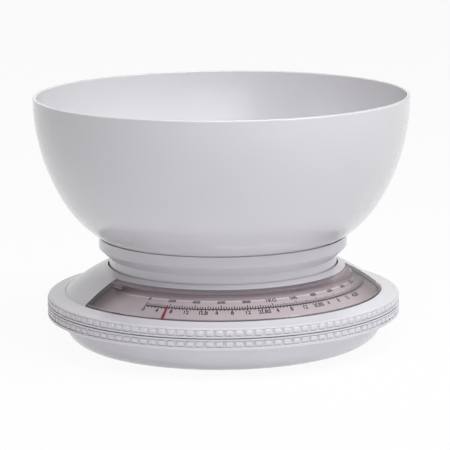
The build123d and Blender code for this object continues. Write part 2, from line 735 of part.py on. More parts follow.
def dial_screws():
    """Small screws that hold the dial plate."""
    screws = []
    for azimuth in DIAL_SCREW_AZIMUTHS:
        x, y = place(DIAL_SCREW_R, azimuth)
        under_z = crown_z(DIAL_SCREW_R + DIAL_SCREW_HEAD / 2, DIAL_DEPTH + DIAL_THICK)
        head_top = under_z - DIAL_SCREW_SLACK
        head_low = head_top - DIAL_SCREW_HEAD_H
        top = crown_z(DIAL_SCREW_R, DIAL_SCREW_COVER) - DIAL_SCREW_SLACK
        shank = disc(x, y, head_low, DIAL_SCREW_D / 2, top - head_low)
        screws.append(shank + disc(x, y, head_low, DIAL_SCREW_HEAD / 2, DIAL_SCREW_HEAD_H))
    return group(screws)


def platform_dish():
    """Round weighing platform: lip, chamfered tier, skirt through the cover and floor."""
    inner_lip_r = LIP_R - LIP_WALL
    skirt_in_r = SKIRT_R - DISH_FLOOR
    floor_low = DISH_FLOOR_Z - DISH_FLOOR
    body = turned(
        *chain(
            (0, floor_low),
            (skirt_in_r, floor_low),
            (skirt_in_r, DISH_SKIRT_Z),
            (SKIRT_R, DISH_SKIRT_Z),
            (SKIRT_R, CHAMFER_LOW_Z),
            (LIP_R - TIER_EDGE_IN, TIER_LOW_Z),
            (LIP_R, TIER_LOW_Z + TIER_EDGE_UP),
            (LIP_R, LIP_TOP_Z - LIP_EDGE),
            (LIP_R - LIP_EDGE, LIP_TOP_Z),
            (inner_lip_r, lip_inner_z()),
            (inner_lip_r, TIER_LOW_Z + DISH_CORNER_RISE),
            (skirt_in_r, DISH_FLOOR_Z),
            (0, DISH_FLOOR_Z),
            (0, floor_low),
        )
    )
    boss_z = BRACKET_Z + BRACKET_THICK
    hole_top = DISH_FLOOR_Z - SCREW_COVER
    for x, y in BRACKET_SCREWS:
        body += disc(x, y, boss_z, SCREW_BOSS_R, floor_low - boss_z + JOIN)
        body -= disc(x, y, BRACKET_Z, SCREW_D / 2 + PRESS_FIT, hole_top - BRACKET_Z)
    return body


def lip_inner_z():
    """Height of the platform lip's inner edge, which follows the bowl's wall."""
    radius = LIP_R - LIP_WALL
    wall_z = BOWL_LOW_Z - sqrt(BOWL_LOW_RADIUS ** 2 - (radius - BOWL_LOW_R) ** 2)
    return wall_z - LIP_UNDERCUT


def bowl_body(inset):
    """Solid inside the bowl's wall, drawn in by an inset."""
    side = BOWL_SIDE_RADIUS - inset
    low = BOWL_LOW_RADIUS - inset
    drop = asin(BOWL_TURN_DROP / BOWL_SIDE_RADIUS)
    turn = (pi / 2 + drop) / 2
    rim = (BOWL_SIDE_R + side, BOWL_SIDE_Z)
    side_middle = side_point(side, drop / 2)
    join = side_point(side, drop)
    low_middle = (BOWL_LOW_R + low * cos(turn), BOWL_LOW_Z - low * sin(turn))
    base = (BOWL_LOW_R, BOWL_LOW_Z - low)
    top_z = BOWL_TOP_Z + inset
    return turned(
        Line((0, base[1]), base),
        ThreePointArc(base, low_middle, join),
        ThreePointArc(join, side_middle, rim),
        *chain(rim, (rim[0], top_z), (0, top_z), (0, base[1])),
    )


def side_point(radius, drop):
    """Section point of the bowl's upper arc at an angle below its rim."""
    return (BOWL_SIDE_R + radius * cos(drop), BOWL_SIDE_Z - radius * sin(drop))


def bowl():
    """Lift-off bowl with a rounded rim."""
    shell = bowl_body(0) - bowl_body(BOWL_WALL)
    return fillet(shell.edges().group_by(Axis.Z)[-1], BOWL_WALL * BOWL_EDGE_SHARE)


def chassis():
    """Sheet steel frame that carries the arms, the crank, the springs and the upper bush."""
    body = block(
        CHASSIS_BACK_X, CHASSIS_FRONT_X, -CHASSIS_HALF_Y, CHASSIS_HALF_Y, CHASSIS_Z, CHASSIS_TOP_Z
    )
    body = fillet(body.edges().filter_by(Axis.Z), CHASSIS_CORNER)
    foot_z = CHASSIS_TOP_Z - JOIN
    cheek_in = ARM_OUT_Y + CHEEK_GAP
    half = CHEEK_LENGTH / 2
    for side in (-1, 1):
        near, far = sorted((side * cheek_in, side * (cheek_in + CHEEK_WALL)))
        body += block(
            ARM_BACK_X - half, ARM_BACK_X + half, near, far, foot_z, UPPER_ARM_Z + CHEEK_TOP
        )
    for z in (LOWER_ARM_Z, UPPER_ARM_Z):
        body -= cross_pin(ARM_BACK_X, z, -CHASSIS_HALF_Y, CHASSIS_HALF_Y, PIN_D + 2 * PRESS_FIT)
    lug_out = CRANK_LUG_Y + CRANK_LUG_WALL
    for side in (-1, 1):
        near, far = sorted((CRANK_Y + side * CRANK_LUG_Y, CRANK_Y + side * lug_out))
        body += block(
            CRANK_X - LUG_HALF, CRANK_X + LUG_HALF, near, far, foot_z, CRANK_Z + LUG_HALF
        )
    reach = lug_out + CUT_OVER
    body -= cross_pin(CRANK_X, CRANK_Z, CRANK_Y - reach, CRANK_Y + reach, PIN_D + 2 * PRESS_FIT)
    swing = (CRANK_Z - CHASSIS_Z) * tan(CRANK_SWING) + CRANK_ARM_W / 2 + 3 * GAP
    slot_half = CRANK_THICK / 2 + 2 * GAP
    low = CHASSIS_Z - CUT_OVER
    through = CHASSIS_THICK + 2 * CUT_OVER
    body -= block(
        CRANK_X - swing,
        CRANK_X + swing,
        CRANK_Y - slot_half,
        CRANK_Y + slot_half,
        low,
        low + through,
    )
    for x, y in PILLAR_POINTS:
        body -= disc(x, y, low, SCREW_D / 2 + SCREW_SLACK, through)
    body -= disc(0, 0, low, BEARING_D / 2 + PRESS_FIT, through)
    return body


def chassis_screws():
    """Screws that hold the chassis down on the pan's pillars."""
    screws = []
    for x, y in PILLAR_POINTS:
        shank = disc(x, y, CHASSIS_TOP_Z - SCREW_LENGTH, SCREW_D / 2, SCREW_LENGTH)
        screws.append(shank + disc(x, y, CHASSIS_TOP_Z, SCREW_HEAD_D / 2, SCREW_HEAD_H))
    return group(screws)


def frame_pivot_pins():
    """Two through pins that the arms swing on."""
    reach = ARM_OUT_Y + CHEEK_GAP + CHEEK_WALL + PIN_PROUD
    return group(
        [cross_pin(ARM_BACK_X, z, -reach, reach, PIN_D) for z in (LOWER_ARM_Z, UPPER_ARM_Z)]
    )


def crank_pivot_pin():
    """Pin that the bell crank swings on."""
    reach = CRANK_LUG_Y + CRANK_LUG_WALL + PIN_PROUD
    return cross_pin(CRANK_X, CRANK_Z, CRANK_Y - reach, CRANK_Y + reach, PIN_D)


def arm(z):
    """Pressed arm: two side bars joined by a web, pivoted behind and slotted in front."""
    bars = None
    for side in (-1, 1):
        near, far = sorted((side * (ARM_OUT_Y - ARM_WALL), side * ARM_OUT_Y))
        bar = block(ARM_BACK_X, ARM_FRONT_X, near, far, z - ARM_HEIGHT / 2, z + ARM_HEIGHT / 2)
        bar += cross_pin(ARM_BACK_X, z, near, far, ARM_HEIGHT)
        bar += cross_pin(ARM_FRONT_X, z, near, far, ARM_HEIGHT)
        bars = bar if bars is None else bars + bar
    web_x = ARM_BACK_X + ARM_WEB_X
    web_top = z + ARM_HEIGHT / 2
    bars += block(
        web_x, web_x + ARM_WEB_LENGTH, -ARM_OUT_Y, ARM_OUT_Y, web_top - ARM_WALL, web_top
    )
    reach = ARM_OUT_Y + CUT_OVER
    bars -= cross_pin(ARM_BACK_X, z, -reach, reach, PIN_D + 2 * RUNNING_FIT)
    slot_d = PIN_D + 2 * RUNNING_FIT + SLOT_SLACK
    for shift in (-SLOT_PLAY, SLOT_PLAY):
        bars -= cross_pin(ARM_FRONT_X + shift, z, -reach, reach, slot_d)
    bars -= block(
        ARM_FRONT_X - SLOT_PLAY,
        ARM_FRONT_X + SLOT_PLAY,
        -reach,
        reach,
        z - slot_d / 2,
        z + slot_d / 2,
    )
    return bars


def load_bracket():
    """Bracket under the platform: top plate, two cheeks and the lug of the drive pin."""
    body = block(
        BRACKET_BACK_X,
        BRACKET_FRONT_X,
        -BRACKET_HALF_Y,
        BRACKET_HALF_Y,
        BRACKET_Z,
        BRACKET_Z + BRACKET_THICK,
    )
    body = fillet(body.edges().filter_by(Axis.Z), BRACKET_CORNER)
    for side in (-1, 1):
        body += bracket_cheek(side)
    lug_y = drive_lug_y()
    lug_end_y = lug_y + CHEEK_WALL
    body += block(
        DRIVE_PIN_X - LUG_HALF,
        DRIVE_PIN_X + LUG_HALF,
        lug_y,
        lug_end_y,
        DRIVE_PIN_Z - LUG_HALF,
        BRACKET_Z + JOIN,
    )
    body -= cross_pin(
        DRIVE_PIN_X, DRIVE_PIN_Z, lug_y - CUT_OVER, lug_end_y + CUT_OVER, PIN_D + 2 * PRESS_FIT
    )
    hole_r = SCREW_D / 2 + SCREW_SLACK
    for x, y in BRACKET_SCREWS:
        body -= disc(x, y, BRACKET_Z - CUT_OVER, hole_r, BRACKET_THICK + 2 * CUT_OVER)
    return body


def bracket_cheek(side):
    """Cheek of the bracket with the holes of its two stub pins."""
    outer = BRACKET_CHEEK_OUT_Y
    near, far = sorted((side * (outer - CHEEK_WALL), side * outer))
    half = BRACKET_CHEEK / 2
    low = LOWER_ARM_Z - ARM_HEIGHT / 2
    cheek = block(ARM_FRONT_X - half, ARM_FRONT_X + half, near, far, low, BRACKET_Z + JOIN)
    for z in (LOWER_ARM_Z, UPPER_ARM_Z):
        cheek -= cross_pin(ARM_FRONT_X, z, near - CUT_OVER, far + CUT_OVER, PIN_D + 2 * PRESS_FIT)
    return cheek


def drive_lug_y():
    """Near face of the drive pin's lug, beside the crank's plate."""
    return CRANK_Y - CRANK_THICK / 2 - DRIVE_LUG_GAP - CHEEK_WALL


def bracket_screws():
    """Screws that hold the dish on the bracket, from below."""
    screws = []
    top = DISH_FLOOR_Z - SCREW_COVER - GAP
    for x, y in BRACKET_SCREWS:
        shank = disc(x, y, BRACKET_Z, SCREW_D / 2, top - BRACKET_Z)
        screws.append(shank + disc(x, y, BRACKET_Z - SCREW_HEAD_H, SCREW_HEAD_D / 2, SCREW_HEAD_H))
    return group(screws)


def link_pins():
    """Four stub pins on the bracket's cheeks that the arms' slots ride on."""
    pins = []
    inner = BRACKET_CHEEK_OUT_Y - CHEEK_WALL - PIN_PROUD
    outer = ARM_OUT_Y + PIN_PROUD
    for z in (LOWER_ARM_Z, UPPER_ARM_Z):
        pins.append(cross_pin(ARM_FRONT_X, z, inner, outer, PIN_D))
        pins.append(cross_pin(ARM_FRONT_X, z, -outer, -inner, PIN_D))
    return group(pins)


def crank_drive_pin():
    """Pin on the bracket's lug that pushes the crank's fork."""
    start = drive_lug_y() - PIN_PROUD
    end = CRANK_Y + CRANK_THICK / 2 + PIN_PROUD
    return cross_pin(DRIVE_PIN_X, DRIVE_PIN_Z, start, end, PIN_D)


def spring_seats(z_low, up):
    """Cups with a centring peg for both springs, pegs pointing up or down."""
    seats = []
    for side in (-1, 1):
        y = side * SPRING_Y
        seat = disc(SPRING_X, y, z_low, SPRING_CUP_D / 2, SPRING_CUP_H)
        peg_z = z_low + SPRING_CUP_H - JOIN if up else z_low - SPRING_PEG_H
        seat += disc(SPRING_X, y, peg_z, SPRING_PEG_D / 2, SPRING_PEG_H + JOIN)
        seats.append(seat)
    return group(seats)


def coil(x, y, z_low, z_high, mean_d, wire_d, turns):
    """Helical spring, each half turn two arcs that share their tangents."""
    radius = mean_d / 2
    steps = turns * 2
    rise = (z_high - z_low) / steps
    slope = rise / pi

    def spot(step):
        angle = pi * step
        return Vector(x + radius * cos(angle), y + radius * sin(angle), z_low + rise * step)

    def heading(step):
        angle = pi * step
        return Vector(-radius * sin(angle), radius * cos(angle), slope).normalized()

    edges = []
    for step in range(steps):
        start, end = spot(step), spot(step + 1)
        tangent_start, tangent_end = heading(step), heading(step + 1)
        span = end - start
        both = tangent_start + tangent_end
        a = both.dot(both) - 4
        b = -2 * span.dot(both)
        c = span.dot(span)
        reach = (-b - sqrt(b * b - 4 * a * c)) / (2 * a)
        join = (start + tangent_start * reach + end - tangent_end * reach) * 0.5
        edges.append(Edge.make_tangent_arc(start, tangent_start, join))
        edges.append(Edge.make_tangent_arc(join, edges[-1] % 1, end))
    path = Wire(edges)
    section = Plane(origin=path @ 0, z_dir=path % 0) * Circle(wire_d / 2)
    return sweep(section, path)


def weighing_spring(side):
    """One of the two compression springs that the load presses on."""
    return coil(
        SPRING_X,
        side * SPRING_Y,
        SPRING_LOW_Z,
        SPRING_HIGH_Z,
        SPRING_MEAN_D,
        SPRING_WIRE,
        SPRING_TURNS,
    )


def bell_crank():
    """Crank that turns the bracket's drop into the rack's slide."""
    plate_y = CRANK_Y + CRANK_THICK / 2
    fork_reach = CRANK_SHORT + CRANK_FORK_TIP
    slot = PIN_D + 2 * DRIVE_PIN_PLAY
    flat = Circle(CRANK_HUB_R)
    flat += Pos(-fork_reach / 2, 0) * Rectangle(fork_reach, CRANK_FORK_W)
    flat += Pos(0, -CRANK_LONG / 2) * Rectangle(CRANK_ARM_W, CRANK_LONG)
    flat += Pos(0, -CRANK_LONG) * Circle(CRANK_ARM_W / 2)
    flat -= Circle(PIN_D / 2 + RUNNING_FIT)
    flat -= Pos(-fork_reach, 0) * Rectangle((fork_reach - CRANK_SHORT + PIN_D) * 2, slot)
    flat -= Pos(0, -CRANK_LONG) * Circle(CRANK_TIP_PIN_D / 2 + PRESS_FIT)
    plate = raised(flat, CRANK_THICK)
    upright = Plane(origin=(CRANK_X, plate_y, CRANK_Z), x_dir=(1, 0, 0), z_dir=(0, -1, 0)) * plate
    return upright.rotate(Axis((CRANK_X, 0, CRANK_Z), (0, 1, 0)), degrees(CRANK_REST))


def crank_tip_pin():
    """Pin on the crank's long arm that pushes the rack's tab."""
    start = rack_tab_y() - RACK_TAB_W - RACK_TAB_GAP
    return cross_pin(CRANK_TIP_X, CRANK_TIP_Z, start, CRANK_Y + CRANK_THICK / 2, CRANK_TIP_PIN_D)


def rack_tooth_line():
    """Plan points along the toothed edge of the rack, from -X to +X."""
    pitch = pi * MODULE
    half = pitch / 4 - BACKLASH / 4
    lean = tan(radians(PRESSURE_ANGLE))
    root_half = half + DEDENDUM * lean
    tip_half = half - ADDENDUM * lean
    root_y = -PITCH_R - DEDENDUM
    tip_y = -PITCH_R + ADDENDUM
    first = int(RACK_TOOTH_FROM_X / pitch)
    last = int(RACK_TOOTH_TO_X / pitch)
    points = []
    for index in range(first, last):
        middle = (index + 0.5) * pitch
        points += [
            (middle - root_half, root_y),
            (middle - tip_half, tip_y),
            (middle + tip_half, tip_y),
            (middle + root_half, root_y),
        ]
    return points


def guide_block_spans():
    """Ends along X of the two guide blocks, clear of the teeth and of the tab."""
    last_tooth_x = rack_tooth_line()[-1][0]
    right_from = last_tooth_x + RACK_OUT + GUIDE_END_GAP
    right_to = RACK_TAB_FROM_X - RACK_IN - GUIDE_END_GAP
    return (LEFT_GUIDE_TO_X - GUIDE_BLOCK_L, LEFT_GUIDE_TO_X), (right_from, right_to)


def rack_back_y():
    """Back edge of the rack's bar."""
    return -PITCH_R - DEDENDUM - RACK_BAR_W


def rack_tab_y():
    """Face of the rack's tab that lies next to the crank's plate."""
    return CRANK_Y - CRANK_THICK / 2 - RACK_TAB_GAP


def rack():
    """Toothed bar with a slotted tab for the crank's pin."""
    root_y = -PITCH_R - DEDENDUM
    back_y = rack_back_y()
    tab_in_y = rack_tab_y()
    corners = [(RACK_BACK_X, back_y), (RACK_BACK_X, root_y)]
    corners += rack_tooth_line()
    corners += [(RACK_BAR_TO_X, root_y), (RACK_BAR_TO_X, back_y)]
    bar = Pos(0, 0, RACK_Z) * raised(Polygon(*corners, align=None), RACK_H)
    tab_to = CRANK_TIP_X + RACK_TAB_PAST
    tab_low = CRANK_TIP_Z - RACK_TAB_H / 2
    tab_out_y = tab_in_y - RACK_TAB_W
    bar += block(RACK_TAB_FROM_X, tab_to, tab_out_y, tab_in_y, tab_low, tab_low + RACK_TAB_H)
    slot_w = CRANK_TIP_PIN_D + GAP
    slot_h = CRANK_TIP_PIN_D + RACK_SLOT_PLAY
    bar -= block(
        CRANK_TIP_X - slot_w / 2,
        CRANK_TIP_X + slot_w / 2,
        tab_out_y - CUT_OVER,
        tab_in_y + CUT_OVER,
        CRANK_TIP_Z - slot_h / 2,
        CRANK_TIP_Z + slot_h / 2,
    )
    return bar


def rack_guides():
    """Two plastic blocks under the chassis that the rack slides through."""
    root_y = -PITCH_R - DEDENDUM
    back_y = rack_back_y()
    guides = []
    for x_from, x_to in guide_block_spans():
        guide = block(
            x_from,
            x_to,
            back_y - GUIDE_BLOCK_WALL,
            root_y + GUIDE_BLOCK_WALL,
            RACK_Z - GUIDE_BLOCK_WALL,
            CHASSIS_Z,
        )
        guide -= block(
            x_from - CUT_OVER,
            x_to + CUT_OVER,
            back_y - RUNNING_FIT,
            root_y + RUNNING_FIT,
            RACK_Z - RUNNING_FIT,
            RACK_Z + RACK_H + RUNNING_FIT,
        )
        guides.append(guide)
    return group(guides)


def pinion():
    """Small involute gear on the spindle."""
    base_r = PITCH_R * cos(radians(PRESSURE_ANGLE))
    tip_r = PITCH_R + ADDENDUM
    root_r = PITCH_R - DEDENDUM
    half_pitch = pi / PINION_TEETH / 2 - BACKLASH / 4 / PITCH_R
    spread = tan(radians(PRESSURE_ANGLE)) - radians(PRESSURE_ANGLE)

    def flank(radius):
        roll = sqrt(max(radius ** 2 / base_r ** 2 - 1, 0))
        return half_pitch + spread - (roll - atan2(roll, 1))

    radii = [base_r + (tip_r - base_r) * share for share in FLANK_SHARES]
    corners = []
    for tooth in range(PINION_TEETH):
        middle = 2 * pi * tooth / PINION_TEETH
        rising = [(root_r, -flank(base_r))] + [(r, -flank(r)) for r in radii]
        falling = [(r, flank(r)) for r in reversed(radii)] + [(root_r, flank(base_r))]
        for radius, offset in rising + falling:
            corners.append(place(radius, degrees(middle + offset)))
    gear = Polygon(*corners, align=None) - Circle(SPINDLE_D / 2 + PRESS_FIT)
    return Pos(0, 0, PINION_Z) * raised(gear, PINION_H)


def spindle():
    """Upright shaft of the pointer."""
    return disc(0, 0, SPINDLE_LOW_Z, SPINDLE_D / 2, SPINDLE_TOP_Z - SPINDLE_LOW_Z)


def footstep_bearing():
    """Brass cup in the pan that the spindle stands in."""
    cup = disc(0, 0, PAN_FLOOR_Z, BEARING_D / 2, FOOTSTEP_H)
    bore_z = SPINDLE_LOW_Z - SPINDLE_FLOOR_GAP
    return cup - disc(0, 0, bore_z, SPINDLE_D / 2 + RUNNING_FIT, FOOTSTEP_H)


def upper_bush():
    """Flanged brass bush in the chassis that steadies the spindle."""
    sleeve_h = BUSH_H - BUSH_FLANGE_H
    bush = disc(0, 0, CHASSIS_TOP_Z - sleeve_h, BEARING_D / 2, sleeve_h)
    bush += disc(0, 0, CHASSIS_TOP_Z, BEARING_D / 2 + BUSH_FLANGE_W, BUSH_FLANGE_H)
    bore_z = CHASSIS_TOP_Z - sleeve_h - CUT_OVER
    return bush - disc(0, 0, bore_z, SPINDLE_D / 2 + RUNNING_FIT, BUSH_H + 2 * CUT_OVER)


def spindle_clip():
    """Retaining ring on the spindle's top."""
    top = SPINDLE_TOP_Z - CLIP_INSET
    return ring(SPINDLE_D / 2 + PRESS_FIT, CLIP_D / 2, top - CLIP_THICK, top)


def pointer_hub():
    """Flanged brass hub that carries the pointer arm."""
    hub = disc(0, 0, HUB_Z, HUB_D / 2 + HUB_FLANGE_W, HUB_FLANGE)
    hub += disc(0, 0, HUB_Z, HUB_D / 2, HUB_H)
    return hub - disc(0, 0, HUB_Z - CUT_OVER, SPINDLE_D / 2 + PRESS_FIT, HUB_H + 2 * CUT_OVER)


def at_pointer(shape):
    """Turn a shape drawn towards -Y to the pointer's place at rest."""
    return shape.rotate(Axis.Z, POINTER_REST)


def pointer_plan(r_from, r_to, width_from, width_to):
    """Tapered plan strip towards -Y, extruded through the height of the base."""
    strip = Polygon(
        (-width_from / 2, -r_from),
        (width_from / 2, -r_from),
        (width_to / 2, -r_to),
        (-width_to / 2, -r_to),
        align=None,
    )
    return raised(strip, CROWN_TOP_Z)


def radial_strip(section):
    """Strip across the pointer whose section lies in the radius-height plane towards -Y."""
    side = Plane(origin=(POINTER_STRIP_W / 2, 0, 0), x_dir=(0, -1, 0), z_dir=(-1, 0, 0))
    return side * raised(section, POINTER_STRIP_W)


def pointer_arm():
    """Light arm that runs out under the mechanism and turns up outside the dial."""
    top = POINTER_Z + POINTER_THICK
    rise_out = POINTER_RISE_R + POINTER_RISE_THICK
    corners = (
        (-POINTER_TAIL, POINTER_Z),
        (POINTER_BEND_R, POINTER_Z),
        (rise_out, POINTER_RISE_Z - POINTER_RISE_SHIFT),
        (rise_out, POINTER_JOIN_Z),
        (POINTER_RISE_R, POINTER_JOIN_Z),
        (POINTER_RISE_R, POINTER_RISE_Z),
        (POINTER_BEND_R - POINTER_BEND_SHIFT, top),
        (-POINTER_TAIL, top),
    )
    plan = pointer_plan(-POINTER_TAIL, rise_out + CUT_OVER, POINTER_ARM_W, POINTER_END_W)
    plan += disc(0, 0, 0, HUB_D / 2 + POINTER_EYE_W, CROWN_TOP_Z)
    plan += disc(0, POINTER_TAIL - POINTER_TAIL_R, 0, POINTER_TAIL_R, CROWN_TOP_Z)
    strip = radial_strip(Polygon(*corners, align=None)) & plan
    strip -= disc(0, 0, 0, HUB_D / 2 + PRESS_FIT, CROWN_TOP_Z)
    return at_pointer(strip)


def pointer_finger():
    """Red finger on the arm's end that reaches in over the dial."""
    rise_out = POINTER_RISE_R + POINTER_RISE_THICK
    low = POINTER_FINGER_DEPTH + POINTER_FINGER_THICK
    face = make_face(
        Wire(
            [
                crown_arc(POINTER_TIP_R, rise_out, POINTER_FINGER_DEPTH),
                *chain(
                    crown_point(rise_out, POINTER_FINGER_DEPTH),
                    (rise_out, POINTER_JOIN_Z),
                    (POINTER_RISE_R, POINTER_JOIN_Z),
                    crown_point(POINTER_RISE_R, low),
                ),
                crown_arc(POINTER_RISE_R, POINTER_TIP_R, low),
                Line(
                    crown_point(POINTER_TIP_R, low),
                    crown_point(POINTER_TIP_R, POINTER_FINGER_DEPTH),
                ),
            ]
        )
    )
    plan = pointer_plan(
        POINTER_TIP_R - CUT_OVER, rise_out + CUT_OVER, POINTER_TIP_W, POINTER_FINGER_W
    )
    return at_pointer(radial_strip(face) & plan)


def build_nodes():
    """All nodes by name."""
    return {
        "base_pan": base_pan(),
        "rubber_feet": rubber_feet(),
        "glide_pads": glide_pads(),
        "chassis": chassis(),
        "chassis_screws": chassis_screws(),
        "frame_pivot_pins": frame_pivot_pins(),
        "crank_pivot_pin": crank_pivot_pin(),
        "footstep_bearing": footstep_bearing(),
        "upper_bush": upper_bush(),
        "rack_guides": rack_guides(),
        "lower_spring_seats": spring_seats(CHASSIS_TOP_Z, True),
        "top_cover": top_cover(),
        "window_lens": window_lens(),
        "dial_plate": dial_plate(),
        "dial_screws": dial_screws(),
        "platform_dish": platform_dish(),
        "load_bracket": load_bracket(),
        "bracket_screws": bracket_screws(),
        "link_pins": link_pins(),
        "crank_drive_pin": crank_drive_pin(),
        "upper_spring_seats": spring_seats(BRACKET_Z - SPRING_CUP_H, False),
        "left_weighing_spring": weighing_spring(1),
        "right_weighing_spring": weighing_spring(-1),
        "lower_arm": arm(LOWER_ARM_Z),
        "upper_arm": arm(UPPER_ARM_Z),
        "bell_crank": bell_crank(),
        "crank_tip_pin": crank_tip_pin(),
        "rack": rack(),
        "spindle": spindle(),
        "spindle_clip": spindle_clip(),
        "pinion": pinion(),
        "pointer_hub": pointer_hub(),
        "pointer_arm": pointer_arm(),
        "pointer_finger": pointer_finger(),
        "bowl": bowl(),
    }


os.makedirs("parts", exist_ok=True)
for name, shape in build_nodes().items():
    shape.label = name
    export_step(shape, f"parts/{name}.step")
print(
    "drive ratios per metre of platform travel:",
    "arms", round(-1000 / ARM_LENGTH, 4),
    "crank", round(1000 / CRANK_SHORT, 4),
    "rack", round(-CRANK_LONG / CRANK_SHORT, 6),
    "pointer", round(-SWEEP_PER_MM * 1000, 4),
    "travel", round(UP_TRAVEL, 4), round(-DOWN_TRAVEL, 4),
)
print(
    "pivot heights:",
    "lower arm", round(LOWER_ARM_Z, 4),
    "upper arm", round(UPPER_ARM_Z, 4),
    "crank", round(CRANK_Z, 4),
    "spring foot", round(SPRING_LOW_Z - SPRING_WIRE / 2, 4),
    "dish floor", round(DISH_FLOOR_Z, 4),
)
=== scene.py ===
"""The looks of an analogue kitchen scale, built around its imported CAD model.

Sizes are in millimetres where a class of the scale holds them and in metres where Blender
gets them; the studio's own sizes are in metres. The window's middle faces -Y, and an azimuth
is counted from there towards +X, in degrees.
"""

import logging
import math
from abc import ABC, abstractmethod
from dataclasses import dataclass
from enum import Enum
from typing import Any, Callable, Dict, List, Optional, Sequence, Tuple, Union

import bpy
from mathutils import Matrix, Vector


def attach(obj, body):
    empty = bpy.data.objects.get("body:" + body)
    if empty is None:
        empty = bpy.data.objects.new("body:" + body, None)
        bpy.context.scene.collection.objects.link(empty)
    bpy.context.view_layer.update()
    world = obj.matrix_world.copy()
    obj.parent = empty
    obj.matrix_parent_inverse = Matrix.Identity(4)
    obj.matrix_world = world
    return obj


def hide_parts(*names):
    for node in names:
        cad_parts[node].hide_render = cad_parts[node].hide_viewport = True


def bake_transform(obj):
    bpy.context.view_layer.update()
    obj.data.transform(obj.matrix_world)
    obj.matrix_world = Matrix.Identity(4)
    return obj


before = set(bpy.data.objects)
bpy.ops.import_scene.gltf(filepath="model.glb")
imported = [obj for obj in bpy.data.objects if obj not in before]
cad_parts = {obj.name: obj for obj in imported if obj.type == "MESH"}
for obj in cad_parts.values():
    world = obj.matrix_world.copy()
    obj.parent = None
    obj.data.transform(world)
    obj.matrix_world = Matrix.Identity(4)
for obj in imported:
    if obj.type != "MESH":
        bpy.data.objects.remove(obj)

log = logging.getLogger("kitchen_scale")
MM = 0.001
MERGE = 0.001 * MM
ORIGIN = (0.0, 0.0, 0.0)
Pair = Tuple[float, float]
Triple = Tuple[float, float, float]
Colour = Triple
WHITE: Colour = (1.0, 1.0, 1.0)


class Body(Enum):
    """The moving bodies that pieces ride on."""

    BASE = "base"
    COVER = "cover"
    PLATFORM = "platform"


class Slot(Enum):
    """The record's material slots, by name; nothing in this script reads them."""

    CASING = "white_casing"
    LENS = "clear_lens"
    SPRING = "spring_steel"


class Grain(Enum):
    """How much fine detail a noise carries."""

    SOFT = 2.0
    EVEN = 3.0
    FINE = 4.0


# --- shader helpers


class Wire:
    """A shader socket that takes part in arithmetic. Each operator adds one Math node."""

    def __init__(self, graph: "Graph", socket: bpy.types.NodeSocket) -> None:
        """Keeps the socket and the graph that it belongs to."""
        self.graph = graph
        self.socket = socket

    def __add__(self, other: "Value") -> "Wire":
        """This value plus another."""
        return self.graph.math("ADD", self, other)

    __radd__ = __add__

    def __sub__(self, other: "Value") -> "Wire":
        """This value less another."""
        return self.graph.math("SUBTRACT", self, other)

    def __rsub__(self, other: "Value") -> "Wire":
        """Another value less this one."""
        return self.graph.math("SUBTRACT", other, self)

    def __mul__(self, other: "Value") -> "Wire":
        """This value times another."""
        return self.graph.math("MULTIPLY", self, other)

    __rmul__ = __mul__

    def __truediv__(self, other: "Value") -> "Wire":
        """This value divided by another."""
        return self.graph.math("DIVIDE", self, other)

    def __rtruediv__(self, other: "Value") -> "Wire":
        """Another value divided by this one."""
        return self.graph.math("DIVIDE", other, self)


Value = Union[float, Wire]


